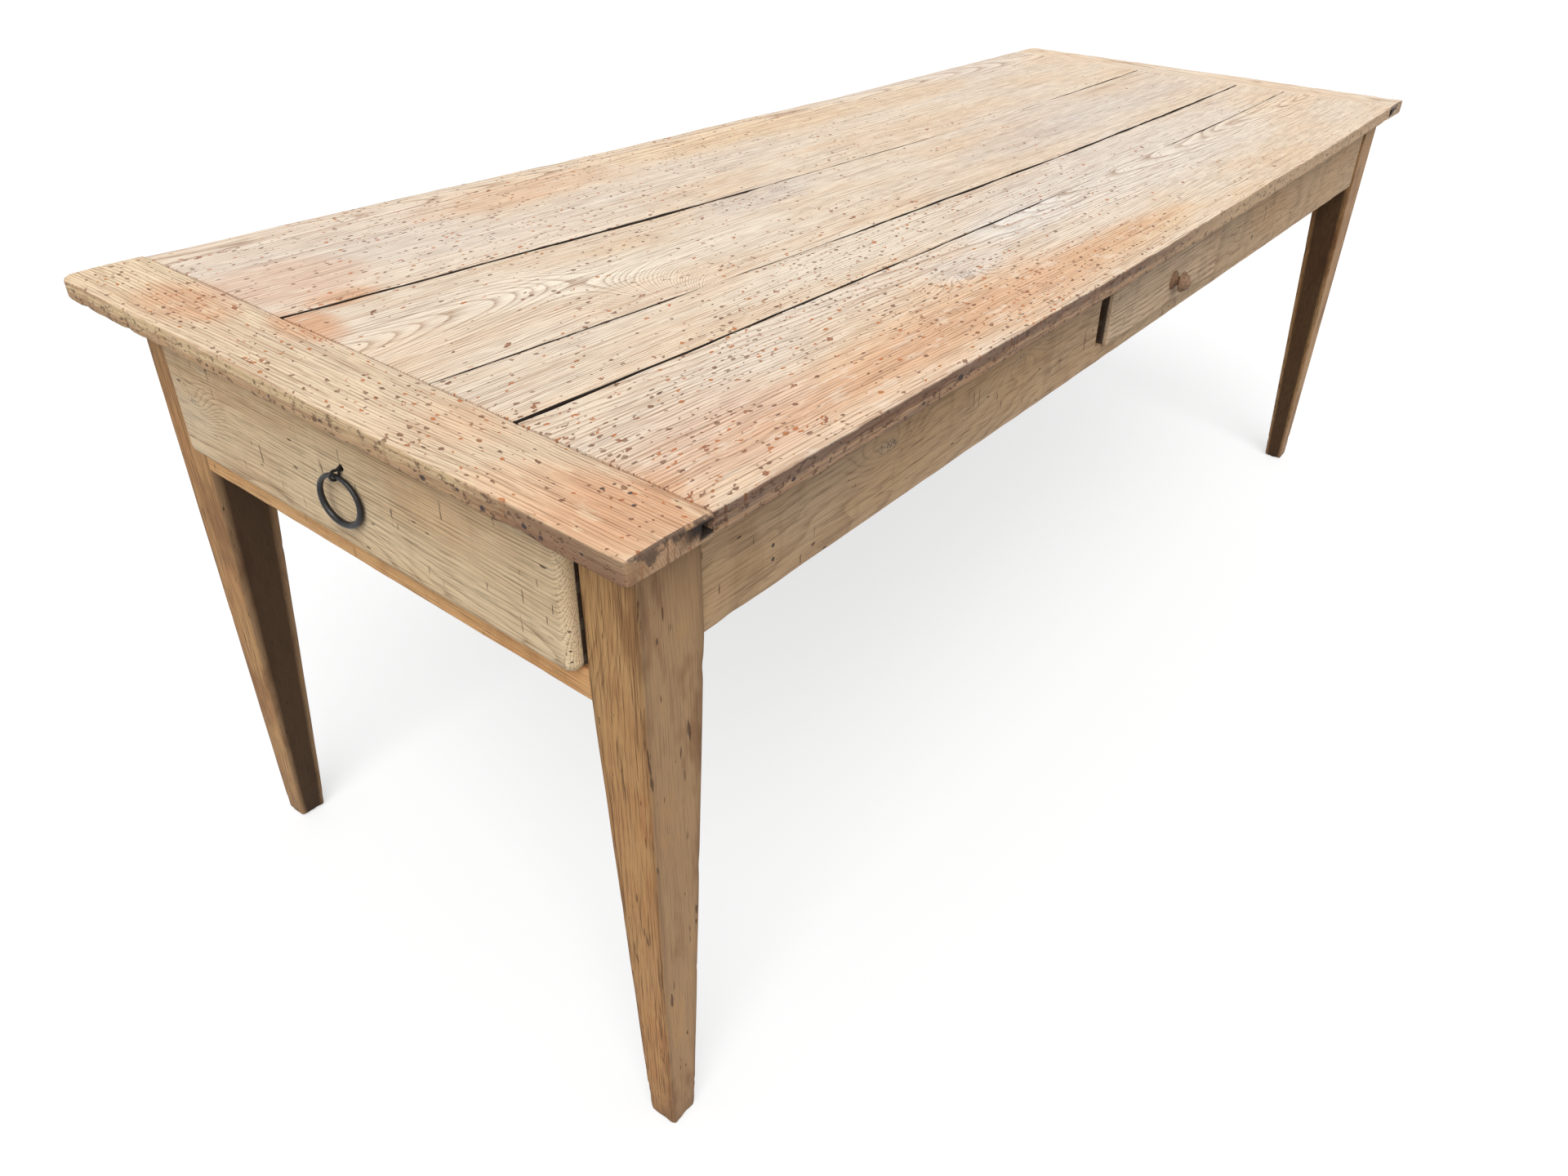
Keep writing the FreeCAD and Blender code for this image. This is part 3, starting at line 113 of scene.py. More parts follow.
class Outline:
    """A board's section as shares of its span (u) and its height (v), and how far its rounding pulls."""

    def __init__(self, across, through, bend=5):
        rows = []
        corners = ((1, 0, -90), (1, 1, 0), (0, 1, 90), (0, 0, 180))
        for number, (u, v, start) in enumerate(corners):
            for step in range(bend + 1):
                angle = math.radians(start + 90 * step / bend)
                rows.append((u, v, math.cos(angle) - (2 * u - 1), math.sin(angle) - (2 * v - 1), number, 1))
            next_u, next_v, _ = corners[(number + 1) % 4]
            count = across if next_u != u else through
            for step in range(1, count + 1):
                share = step / (count + 1)
                on_u, on_v = u + (next_u - u) * share, v + (next_v - v) * share
                pull_u = (1 - 2 * on_u) if next_u != u else 0
                pull_v = (1 - 2 * on_v) if next_v != v else 0
                rows.append((on_u, on_v, pull_u, pull_v, number, 0))
        self.u, self.v, self.pull_u, self.pull_v, corner, arc = np.array(rows).T
        self.corner, self.arc = corner.astype(int), arc > 0

    def down(self):
        """How far each point is past the upper face: 0 on it, 1 on the sides, between them on the arris."""
        return np.where(self.v == 1, np.where(self.arc, -self.pull_v, 0.0), 1.0)

    def rings(self, axes, along, low, high, floor, top, radii):
        """Points in space for every station: axes name the lengthwise, across and upward directions."""
        radius = np.stack([np.broadcast_to(r, along.shape) for r in radii], axis=1)[:, self.corner]
        shape = (len(along), len(self.u))
        low, high, floor, top = (np.broadcast_to(side, along.shape)[:, None]
                                 for side in (low, high, floor, top))
        points = np.empty(shape + (3,))
        points[..., "xyz".index(axes[0])] = along[:, None]
        points[..., "xyz".index(axes[1])] = low + (high - low) * self.u + radius * self.pull_u
        points[..., "xyz".index(axes[2])] = floor + (top - floor) * self.v + radius * self.pull_v
        return points


def stations(first, last, pitch, first_round=0.0, last_round=0.0):
    """Places along a board, closer where its ends are rounded, and how far the section draws in at each."""
    turn = np.radians(np.linspace(0, 90, 6))
    middle = np.arange(first + first_round + pitch / 2, last - last_round - pitch / 4, pitch)
    along = np.concatenate([first + first_round * (1 - np.cos(turn)), middle,
                            last - last_round * (1 - np.cos(turn[::-1]))])
    inset = np.concatenate([first_round * (1 - np.sin(turn)), np.zeros(len(middle)),
                            last_round * (1 - np.sin(turn[::-1]))])
    return along, inset


def skin(name, rings, marks):
    """A closed mesh over rows of points, flat at both ends, with a number per point for each mark."""
    rows, around = rings.shape[:2]
    index = np.arange(rows * around).reshape(rows, around)
    beside = np.roll(index, -1, axis=1)
    quads = np.stack([index[:-1], beside[:-1], beside[1:], index[1:]], axis=-1).reshape(-1, 4)
    mesh = bpy.data.meshes.new(name)
    mesh.from_pydata(rings.reshape(-1, 3).tolist(), [],
                     quads.tolist() + [index[0][::-1].tolist(), index[-1].tolist()])
    for mark, numbers in marks.items():
        layer = mesh.attributes.new(mark, "FLOAT", "POINT")
        layer.data.foreach_set("value", np.broadcast_to(numbers, (rows, around)).astype(np.float32).ravel())
    mesh.validate()
    return mesh


def facing_out(mesh):
    """Turns a closed mesh right side out."""
    mesh.update()
    volume = sum(face.center.dot(face.normal) * face.area for face in mesh.polygons)
    if volume < 0:
        mesh.flip_normals()


def new_object(name, data):
    thing = bpy.data.objects.new(name, data)
    bpy.context.scene.collection.objects.link(thing)
    return thing


def finish_piece(name, mesh, material, *nodes, sharp=40):
    """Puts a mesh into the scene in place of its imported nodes."""
    facing_out(mesh)
    mesh.polygons.foreach_set("use_smooth", np.ones(len(mesh.polygons), dtype=bool))
    mesh.set_sharp_from_angle(angle=math.radians(sharp))
    piece = new_object(name, mesh)
    mesh.materials.append(material)
    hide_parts(*nodes)
    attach(piece, BODY_OF[nodes[0]])


def worn_piece(node, rings, marks, material):
    finish_piece("worn_" + node, skin("worn_" + node, rings, marks), material, node)


# Shader nodes written as formulas.

def tone(red, green, blue):
    """A colour as it looks on screen, 0 to 255, in the linear numbers that shaders take."""
    return tuple(c / 255 / 12.92 if c < 11 else ((c / 255 + 0.055) / 1.055) ** 2.4
                 for c in (red, green, blue)) + (1,)


class Wire:
    """An output of a shader node. Arithmetic with it adds math nodes."""

    def __init__(self, graph, socket):
        self.graph, self.socket = graph, socket

    def __add__(self, other):
        return self.graph.math("ADD", self, other)

    def __sub__(self, other):
        return self.graph.math("SUBTRACT", self, other)

    def __rsub__(self, other):
        return self.graph.math("SUBTRACT", other, self)

    def __mul__(self, other):
        return self.graph.math("MULTIPLY", self, other)

    def __pow__(self, other):
        return self.graph.math("POWER", self, other)

    def clear(self, low, high):
        """A soft step: 0 at low, 1 at high. Low may be the larger."""
        flip = low > high
        ends = {"Value": self, "From Min": min(low, high), "From Max": max(low, high),
                "To Min": float(flip), "To Max": float(not flip)}
        return self.graph.wire(self.graph.node("MapRange", ends, interpolation_type="SMOOTHSTEP"))

    __radd__ = __add__


class Graph:
    """The nodes of a material or a world, and the shader that they feed."""

    def __init__(self, owner, shader="Principled BSDF"):
        owner.use_nodes = True
        self.owner, self.tree = owner, owner.node_tree
        self.shader = self.tree.nodes[shader]

    def plug(self, value, socket):
        """Joins a wire to a socket, or sets a plain value on it."""
        if isinstance(value, Wire):
            self.tree.links.new(value.socket, socket)
        else:
            socket.default_value = value

    def feed(self, socket, value):
        self.plug(value, self.shader.inputs[socket])

    def node(self, kind, inputs, **settings):
        made = self.tree.nodes.new("ShaderNode" + kind)
        for setting, value in settings.items():
            setattr(made, setting, value)
        for socket, value in inputs.items():
            self.plug(value, made.inputs[socket])
        return made

    def wire(self, made, output=0):
        return Wire(self, made.outputs[output])

    def math(self, operation, first, second=0.0):
        return self.wire(self.node("Math", {0: first, 1: second}, operation=operation))

    def blend(self, share, first, second):
        """A number between two others: share 0 gives the first, 1 the second."""
        return self.wire(self.node("MapRange", {"Value": share, "To Min": first, "To Max": second}))

    def axes(self, coordinate):
        """The X, Y and Z of a texture coordinate, as three wires."""
        split = self.node("SeparateXYZ", {0: self.wire(self.node("TexCoord", {}), coordinate)})
        return [self.wire(split, axis) for axis in range(3)]

    def vector(self, x, y, z):
        return self.wire(self.node("CombineXYZ", {0: x, 1: y, 2: z}))

    def noise(self, vector, detail=2.0, roughness=0.5):
        return self.wire(self.node("TexNoise", {"Vector": vector, "Scale": 1.0, "Detail": detail,
                                                "Roughness": roughness}))

    def cells(self, vector, flat=False):
        """Scattered points: the distance to the nearest one, and three chance numbers of its own."""
        made = self.node("TexVoronoi", {"Vector": vector, "Scale": 1.0},
                         voronoi_dimensions="2D" if flat else "3D")
        split = self.node("SeparateColor", {0: self.wire(made, "Color")})
        return [self.wire(made, "Distance")] + [self.wire(split, channel) for channel in range(3)]

    def mark(self, name):
        """A number that the mesh carries at its points, 0 where it carries none."""
        return self.wire(self.node("Attribute", {}, attribute_name=name), "Fac")

    def mix(self, share, first, second):
        """A colour between two others."""
        made = self.node("Mix", {"Factor": share}, data_type="RGBA")
        self.plug(first, made.inputs[6])
        self.plug(second, made.inputs[7])
        return self.wire(made, 2)

    def bump(self, height):
        """Relief from a height in metres."""
        relief = self.node("Bump", {"Strength": 1.0, "Distance": 1.0, "Height": height})
        self.feed("Normal", self.wire(relief))

    def background_ray(self):
        """1 for the rays that show the background: from the camera, mirrored or through glass. Else 0."""
        path = self.node("LightPath", {})
        camera, glossy, transmission = (self.wire(path, "Is " + kind + " Ray")
                                        for kind in ("Camera", "Glossy", "Transmission"))
        return self.math("MINIMUM", camera + glossy + transmission, 1.0)


# Oak.

class Tones:
    """The colours of one kind of oak surface: two main tints, grey, growth lines and pores."""

    def __init__(self, *tints):
        self.pale, self.warm, self.grey, self.line, self.pore = (tone(*tint) for tint in tints)


SCRUBBED = Tones((245, 229, 208), (241, 216, 186), (236, 224, 211), (160, 116, 84), (98, 68, 48))
CAP = Tones((243, 220, 186), (238, 206, 168), (232, 212, 186), (156, 112, 78), (96, 64, 44))
LEG = Tones((200, 157, 107), (184, 130, 82), (186, 152, 118), (118, 76, 46), (66, 42, 28))
APRON = Tones((214, 180, 141), (208, 166, 119), (202, 181, 155), (130, 94, 66), (78, 54, 40))
DRAWER = Tones((238, 214, 176), (234, 199, 155), (221, 201, 174), (144, 108, 76), (86, 62, 46))
SIDE_DRAWER = Tones((228, 200, 168), (220, 184, 147), (214, 196, 176), (130, 104, 82), (84, 64, 50))
RAIL = Tones((236, 190, 136), (230, 172, 112), (214, 172, 128), (166, 116, 72), (100, 66, 42))
INNER = Tones((170, 134, 96), (164, 120, 78), (146, 120, 94), (118, 84, 56), (70, 48, 32))
TURNED = Tones((168, 134, 106), (158, 118, 88), (142, 118, 98), (104, 76, 56), (60, 42, 32))
PEG = Tones((160, 120, 82), (152, 108, 68), (134, 106, 80), (104, 72, 46), (62, 42, 28))


ORANGE, PINK, HONEY, RUST = (241, 202, 166), (238, 206, 182), (244, 213, 172), (230, 180, 142)
CREAM, CHALK, SLATE = (250, 238, 218), (243, 236, 226), (212, 208, 206)
# The worn-arris tint is lightening from wear together with a painted highlight.
ARRIS_WEAR_AND_HIGHLIGHT, END_WOOD, END_GRIME = (196, 160, 138), (176, 138, 104), (70, 60, 56)
# Below: painted shade for the legs' inner sides, grime for joints, and painted shade for the gaps beside the
# drawers.
PAINTED_SIDE_SHADE, JOINT_DIRT, DRAWER_GAP_SHADE = (48, 28, 11), (30, 24, 21), (34, 25, 19)
HOLE, WORMHOLE, CHIP, BRIGHT_RUST = (64, 56, 58), (74, 52, 42), (78, 54, 42), (190, 116, 66)
# Painted shade in the gaps beside the drawers: its strength and rise, and how far in and out on the flanks it
# reaches.
GAP_SHADE_STRENGTH, GAP_SHADE_RISE, FLANK_IN, FLANK_OUT = 0.9, 0.002, 0.003, 0.001

# An open edge's tints: its upper part, its lower part and its streaks.
DARK_EDGE = (100, 72, 54), (172, 134, 102), (74, 52, 42)
NEAR_EDGE = (104, 68, 48), (176, 136, 102), (70, 46, 36)
CAP_EDGE = (226, 196, 152), (194, 156, 116), (150, 108, 74)

# Rust specks: cells per metre along and across the grain, share of cells that hold one, its least and its
# further reach in cells, and its dark tint.
SPECKS = (88, 150, 0.62, 0.080, 0.21, (116, 74, 52)), (30, 52, 0.32, 0.032, 0.090, (146, 84, 50))

# Stains: a place on the face, a reach and a spread, a tint, a strength, and how ragged the border is.
TOP_STAINS = [
    (-0.62, -0.345, 0.34, 0.060, ORANGE, 0.95, 1.5),
    (-0.30, -0.345, 0.26, 0.050, ORANGE, 0.75, 1.5),
    (-0.12, -0.350, 0.20, 0.030, HONEY, 0.6, 1.5),
    (-0.42, -0.290, 0.14, 0.045, ORANGE, 0.55, 1.5),
    (-0.82, -0.320, 0.12, 0.060, PINK, 0.75, 1.5),
    (-0.975, -0.340, 0.06, 0.080, RUST, 0.95, 1.5),
    (-0.995, -0.270, 0.035, 0.050, ORANGE, 0.7, 1.5),
    (-0.960, -0.155, 0.035, 0.050, ORANGE, 0.55, 1.5),
    (-0.925, 0.110, 0.030, 0.055, RUST, 0.9, 1.5),
    (-0.965, 0.250, 0.040, 0.070, RUST, 0.8, 1.5),
    (-0.86, 0.155, 0.045, 0.025, RUST, 0.85, 1.5),
    (-0.87, 0.23, 0.08, 0.07, PINK, 0.8, 1.5),
    (-0.50, 0.315, 0.17, 0.045, ORANGE, 0.7, 1.5),
    (-0.05, 0.33, 0.32, 0.045, HONEY, 0.7, 1.5),
    (0.35, 0.31, 0.24, 0.055, HONEY, 0.55, 1.5),
    (-0.66, 0.025, 0.13, 0.040, CREAM, 0.9, 1.5),
    (-0.52, 0.000, 0.16, 0.035, CREAM, 0.8, 1.5),
    (-0.43, -0.13, 0.20, 0.045, CREAM, 0.75, 1.5),
    (-0.31, 0.085, 0.12, 0.045, SLATE, 0.35, 3.0),
    (-0.45, -0.345, 0.42, 0.030, RUST, 0.55, 2.4),
    (-0.12, -0.335, 0.14, 0.025, RUST, 0.2, 2.4),
    (-0.36, -0.258, 0.08, 0.030, CHALK, 0.6, 2.4),
    (-0.16, -0.22, 0.13, 0.045, CHALK, 0.75, 1.5),
    (0.25, -0.01, 0.22, 0.050, SLATE, 0.3, 3.0),
    (0.62, -0.005, 0.22, 0.05, SLATE, 0.25, 3.0),
    (0.30, -0.20, 0.45, 0.10, CHALK, 0.5, 1.5),
    (-0.30, 0.23, 0.25, 0.05, CHALK, 0.4, 1.5),
]


class Oak:
    """The surface of one oak board while it is built up: its colour, and its relief in metres.

    Noises take their scales per metre. A place on the face is given in the two axes that the face lies in.
    """

    def __init__(self, name, grain, tones, seed, face):
        self.graph, self.tones, self.shift = Graph(bpy.data.materials.new(name)), tones, seed * 3.7
        axes = dict(zip("xyz", self.graph.axes("Object")))
        self.x, self.y, self.z = axes.values()
        order = {"x": "xyz", "y": "yxz", "z": "zxy"}[grain]
        self.along, self.across, self.through = (axes[axis] for axis in order)
        self.first, self.second = (axes[axis] for axis in face)
        self.patch = self.strands((3.2, 9, 9), 3.0, 0.6)
        place = self.graph.vector(self.along * 7, self.across * 22, self.through * 22 + self.shift)
        self.border = self.graph.noise(place, 3.0, 0.6) - 0.5
        self.grime = self.clouds((26, 26, 90), 3.0, 0.65)
        self.colour = self.height = self.pore = None

    def strands(self, scales, detail=2.0, roughness=0.5, level=0.0):
        """Noise with its scales along the grain, across it and through the board."""
        lengthwise, crosswise, deep = scales
        place = self.graph.vector(self.along * lengthwise + self.shift, self.across * crosswise,
                                  self.through * deep + level)
        return self.graph.noise(place, detail, roughness)

    def clouds(self, scales, detail=2.0, roughness=0.5, start=(0.0, 0.0)):
        """Noise with its scales along X, Y and Z. It starts at other places on X and Z if asked."""
        place = self.graph.vector(self.x * scales[0] + start[0], self.y * scales[1],
                                  self.z * scales[2] + start[1])
        return self.graph.noise(place, detail, roughness)

    def distance(self, place_first, place_second, reach=1.0, spread=1.0):
        """The squared distance from a place on the face, 1 at its reach along and its spread across."""
        off_first = (self.first - place_first) * (1 / reach)
        off_second = (self.second - place_second) * (1 / spread)
        return off_first * off_first + off_second * off_second

    def paint(self, share, colour):
        """Lays a colour over what is there: share 0 leaves it, 1 covers it."""
        self.colour = self.graph.mix(share, self.colour, colour)

    def sink(self, share, depth):
        self.height = self.height + share * -depth

    def year(self, pith, lean, ring, blend, knots):
        """How far each point is through its year of growth, 0 to 1, in rings round a leaning pith line."""
        drift, ripple = self.strands((1.6, 5, 5)) - 0.5, self.strands((16, 60, 60)) - 0.5
        from_pith = self.across + self.along * lean[0] + drift * 0.05 + ripple * 0.0030 - pith[0]
        below_pith = self.through + self.along * lean[1] + drift * 0.02 - pith[1]
        radius = self.graph.math("SQRT", from_pith * from_pith + below_pith * below_pith)
        if blend:
            start, stop, slope, offset = blend
            radius = radius + self.along.clear(start, stop) * (from_pith * slope + offset - radius)
        for *ellipse, rise in knots:
            radius = radius + self.graph.math("EXPONENT", self.distance(*ellipse) * -1.0) * rise
        breath = self.graph.noise(self.graph.vector(radius * 60, self.shift, 0.0), 1.0)
        return self.graph.math("FRACT", radius * (1 / ring) + breath * 3.0)

    def lay_tones(self, stains):
        """The board's two tints and its grey in long soft patches, and its stains."""
        cloud = self.strands((1.1, 3.5, 3.5), level=4.0)
        self.colour = self.graph.mix(self.patch.clear(0.35, 0.68), self.tones.pale, self.tones.warm)
        self.paint(cloud.clear(0.46, 0.72) * 0.7, self.tones.grey)
        for *ellipse, colour, strength, ragged in stains:
            away = self.distance(*ellipse) + self.border * ragged
            self.paint(away.clear(1.5, 0.1) * strength, tone(*colour))

    def draw_grain(self, year, lines, dashes):
        """Growth lines, streaks, pores, a fine mottle, and short dark dashes."""
        early = (1 - year) ** 4.0 * year.clear(0.0, 0.10)
        streak = self.strands((4.5, 400, 400), 3.0, 0.6)
        mottle = self.strands((24, 75, 75), 3.0, 0.65)
        dash = self.strands((20, 900, 900), 1.0).clear(0.57, 0.67)
        self.pore = self.strands((11, 1000, 1000), 1.0).clear(0.52, 0.64) * (early * 0.8 + 0.2)
        growth = early * (streak.clear(0.30, 0.60) * 0.4 + 0.6) * lines
        self.paint(growth * 0.95, self.tones.line)
        self.paint(streak.clear(0.53, 0.66) * (0.44 * lines), self.tones.line)
        self.paint(self.pore * (0.85 * lines), self.tones.pore)
        self.paint(mottle.clear(0.52, 0.66) * 0.09, self.tones.line)
        self.paint(mottle.clear(0.46, 0.34) * 0.40, self.tones.pale)
        self.paint(dash * dashes, self.tones.pore)
        self.height = early * -0.00012 + self.pore * -0.00020 + streak * 0.00014 - dash * 0.0001

    def paint_light_y_sides(self, strength):
        """Greyer wood on the sides that look along Y, as painted light on those faces."""
        sideways = self.graph.math("ABSOLUTE", self.graph.axes("Normal")[1]).clear(0.55, 0.85)
        self.paint(sideways * strength, self.tones.grey)

    def smoke(self, strength):
        """Patches of soot, paler ones between them, and upright cracks."""
        soot = self.clouds((22, 22, 7), 3.0, 0.65, start=(self.shift, 0.0))
        self.paint(soot.clear(0.50, 0.66) * strength, self.tones.line)
        self.paint(soot.clear(0.44, 0.32) * strength * 0.8, self.tones.pale)
        crack = self.clouds((160, 160, 22), 2.0, 0.6, start=(self.shift, 0.0)).clear(0.68, 0.72)
        self.paint(crack * 0.7, self.tones.pore)
        self.sink(crack, 0.0005)

    def rust(self, density):
        """Rust specks in loose crowds, fewer towards the right end."""
        graph = self.graph
        jitter = self.clouds((170, 170, 170), 1.0) - 0.5
        crowd = self.clouds((4, 8, 6), start=(self.shift, 0.0)).clear(0.32, 0.60) * 0.8 + 0.2
        fade = self.x.clear(0.50, -0.55)
        for lengthwise, crosswise, share, least, reach, dark_rust in SPECKS:
            place = graph.vector(self.along * lengthwise + jitter * 0.6 + 3.0,
                                 self.across * crosswise + jitter * 0.8, 0.0)
            apart, chance, size, hue = graph.cells(place, flat=True)
            wanted = crowd * (fade * share + 0.05) * density
            within = (apart - size * size * reach).clear(least + 0.02, least)
            speck = (chance - wanted).clear(0.01, -0.01) * within
            tint = graph.mix(hue.clear(0.62, 0.80), tone(*dark_rust), tone(*BRIGHT_RUST))
            self.paint(speck * (hue * 0.25 + 0.70), tint)
            self.sink(speck, 0.0003)

    def wormholes(self, share):
        """Small dark pits in the given share of cells."""
        place = self.graph.vector(self.along * 60 + 9.0, self.across * 210, self.through * 210)
        apart, chance, size, _ = self.graph.cells(place)
        pit = (chance - share).clear(0.02, -0.02) * (apart - size * 0.18).clear(0.10, 0.02)
        self.paint(pit * 0.85, tone(*WORMHOLE))
        self.sink(pit, 0.0008)

    def knot_hearts(self, knots):
        """The grey, flecked heart of each knot, a third of its size."""
        for place_first, place_second, reach, spread, _ in knots:
            away = self.distance(place_first, place_second, reach / 3, spread / 3) + self.border * 4.0
            heart = away.clear(1.4, 0.2)
            self.paint(heart * 0.5, self.tones.grey)
            self.paint(heart * self.clouds((420, 420, 420)).clear(0.45, 0.60) * 0.75, self.tones.pore)
            self.sink(heart, 0.0003)

    def bore(self, holes):
        """Ragged dark holes of the given radius."""
        for place_first, place_second, size in holes:
            away = self.graph.math("SQRT", self.distance(place_first, place_second))
            hole = (away + self.border * (size * 0.8)).clear(size, size * 0.6)
            self.paint(hole * 0.9, tone(*HOLE))
            self.sink(hole, 0.0010)

    def wear_edge(self, tints, holes, shade):
        """The open edge: darker above, streaked, chipped and holed, and shaded along one stretch if asked."""
        upper_tint, lower_tint, streak_tint = (tone(*tint) for tint in tints)
        edge, chip = self.graph.mark("edge"), self.clouds((110, 110, 190), 3.0, 0.7)
        strip = self.strands((9, 30, 420), 3.0, 0.6)
        upper = (self.z + (self.grime - 0.5) * 0.016).clear(TOP - 0.016, TOP - 0.009)
        band = self.graph.mix(upper, lower_tint, upper_tint)
        band = self.graph.mix(strip.clear(0.46, 0.60) * 0.65, band, streak_tint)
        self.paint(edge * 0.82, band)
        if shade:
            start, stop, tint = shade
            self.paint(edge * (self.along.clear(start, stop) * (self.grime * 0.6 + 0.35)), tone(*tint))
        self.paint(edge * chip.clear(0.56, 0.62) * 0.70, tone(*CHIP))
        self.height = self.height + edge * (chip * -0.0006 + strip * 0.0004)
        for place_along, height, size in holes:
            off_along, off_height = self.along - place_along, (self.z - height) * 1.5
            away = self.graph.math("SQRT", off_along * off_along + off_height * off_height)
            hole = (away + self.border * (size * 1.2)).clear(size, size * 0.5)
            self.paint(edge * hole * 0.92, tone(*HOLE))

    def wear(self):
        """End grain, worn arrises lightened by wear and a painted highlight, painted shade on inner sides, and the
        grime in joints, where the mesh has marks for them.
        """
        worn, joint, end, painted_shade = (self.graph.mark(mark) for mark in ("worn", "joint", "end", "painted_shade"))
        blotch = self.clouds((60, 60, 60), 3.0, 0.65, start=(0.0, 2.0)) + (self.z - (TOP - 0.010)) * 12.0
        self.paint(end * 0.55, tone(*END_WOOD))
        self.paint(end * blotch.clear(0.50, 0.60) * 0.75, tone(*END_GRIME))
        # Wear and a painted highlight along the arrises.
        self.paint(worn * (self.grime * 0.24 + 0.02), tone(*ARRIS_WEAR_AND_HIGHLIGHT))
        # Painted shade on the legs' inner sides.
        self.paint(painted_shade * 0.90, tone(*PAINTED_SIDE_SHADE))
        self.paint(joint.clear(0.0, 0.7) * 0.97, tone(*JOINT_DIRT))
        self.graph.feed("Roughness", 0.74 - self.patch * 0.16 + self.pore * 0.15 - worn * 0.15)

    def shade_flanks_painted(self, drawer, slide, start, fade, end):
        """Painted shade, near black, on a drawer's flanks for the dark gap beside the drawer, given as distances
        behind its front along X (0) or Y (1).
        """
        low, high = BOX[drawer]
        behind, across = (self.x, self.y) if slide == 0 else (self.y, self.x)
        front, side_low, side_high = low[slide], low[1 - slide], high[1 - slide]
        flank = (across.clear(side_low + FLANK_IN, side_low + FLANK_OUT)
                 + across.clear(side_high - FLANK_IN, side_high - FLANK_OUT))
        share = flank * behind.clear(front + start, front + start + GAP_SHADE_RISE)
        self.paint(share * behind.clear(front + end, front + fade) * GAP_SHADE_STRENGTH, tone(*DRAWER_GAP_SHADE))

    def finish(self):
        self.graph.feed("Base Color", self.colour)
        self.graph.feed("Specular IOR Level", 0.22)
        self.graph.bump(self.height)
        return self.graph.owner


def oak(name, grain, tones, seed, pith=(0.02, -0.05), lean=(0.02, 0.01), ring=0.0035, blend=None, knots=(),
        stains=(), face="xy", lines=1.0, dashes=0.25, y_side_light=0.0, smoke=0.0, specks=0.0, pits=0.0, holes=(),
        edge=DARK_EDGE, edge_holes=(), edge_shade=None, gap_shade=None):
    """Oak cut from a log: rings round a leaning pith line, long pores, wear, and stains at their places."""
    board = Oak(name, grain, tones, seed, face)
    board.lay_tones(stains)
    board.draw_grain(board.year(pith, lean, ring, blend, knots), lines, dashes)
    # Painted light on the sides that look along Y, where asked.
    if y_side_light:
        board.paint_light_y_sides(y_side_light)
    if smoke:
        board.smoke(smoke)
    if specks:
        board.rust(specks)
    if pits:
        board.wormholes(pits)
    board.knot_hearts(knots)
    board.bore(holes)
    board.wear_edge(edge, edge_holes, edge_shade)
    board.wear()
    # Painted shade on the drawers' flanks, where asked.
    if gap_shade:
        board.shade_flanks_painted(*gap_shade)
    return board.finish()


def iron(name):
    """Forged iron: black scale with browner and bare spots, and hammer marks."""
    graph = Graph(bpy.data.materials.new(name))
    x, y, z = graph.axes("Object")
    coarse = graph.noise(graph.vector(x * 160, y * 160, z * 160), 3.0, 0.6)
    fine = graph.noise(graph.vector(x * 900, y * 900, z * 900), 3.0, 0.6)
    colour = graph.mix(coarse.clear(0.45, 0.68), tone(22, 22, 24), tone(38, 32, 29))
    colour = graph.mix(fine.clear(0.62, 0.76) * 0.5, colour, tone(78, 76, 76))
    graph.feed("Base Color", colour)
    graph.feed("Specular IOR Level", 0.4)
    graph.feed("Roughness", 0.24 + coarse * 0.24)
    graph.bump(coarse * 0.0005 + fine * 0.00008)
    return graph.owner


# The top.

NEAR_ROUND, FAR_ROUND, JOINT_ROUND, LOWER_ROUND = 0.0018, 0.0020, 0.0010, 0.0022
CAP_UPPER_ROUND, CAP_LOWER_ROUND, SEAM_ROUND = 0.0018, 0.0024, 0.0012
DEEPEST_HOLLOW = 0.003           # how far wear lowers the upper face at most
EDGE_BAND, EDGE_SLACK = 0.035, 0.001    # how far an edge bends in, and how far a point may leave its curve


def edge_line(node, side):
    """The plan curve of a board's near (-1) or far (1) edge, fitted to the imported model's corners."""
    mesh = frame["nodes"][node].data
    points = np.empty(len(mesh.vertices) * 3)
    mesh.vertices.foreach_get("co", points)
    points = points.reshape(-1, 3)
    points = points[np.abs(points[:, 0]) < SHOULDER_RIGHT + 0.0005]
    reach = side * points[:, 1]
    on_edge = points[reach > reach.max() - EDGE_BAND]
    for _ in range(4):
        curve = np.poly1d(np.polyfit(on_edge[:, 0], on_edge[:, 1], 2))
        near_curve = side * (on_edge[:, 1] - curve(on_edge[:, 0])) > -EDGE_SLACK
        on_edge = on_edge[near_curve] if near_curve.sum() > 6 else on_edge
    return curve


def add_tongues(rings, marks, low, high):
    """Steps a plank's section in at each end and runs it out as a tongue, between low and high across."""
    middle = (TOP + UNDER) / 2
    for end, tip in ((0, SHOULDER_LEFT - TONGUE_LENGTH), (-1, SHOULDER_RIGHT + TONGUE_LENGTH)):
        step = rings[end].copy()
        step[:, 1] = step[:, 1].clip(low[end], high[end])
        step[:, 2] = step[:, 2].clip(middle - TONGUE_HALF, middle + TONGUE_HALF)
        tongue = np.stack([step, step])
        tongue[1, :, 0] = tip
        rings = np.concatenate([rings, tongue] if end else [tongue[::-1], rings])
        for mark, numbers in marks.items():
            flat = np.full((2, rings.shape[1]), 0.55 if mark == "joint" else 0.0)
            marks[mark] = np.concatenate([numbers, flat] if end else [flat, numbers])
    return rings


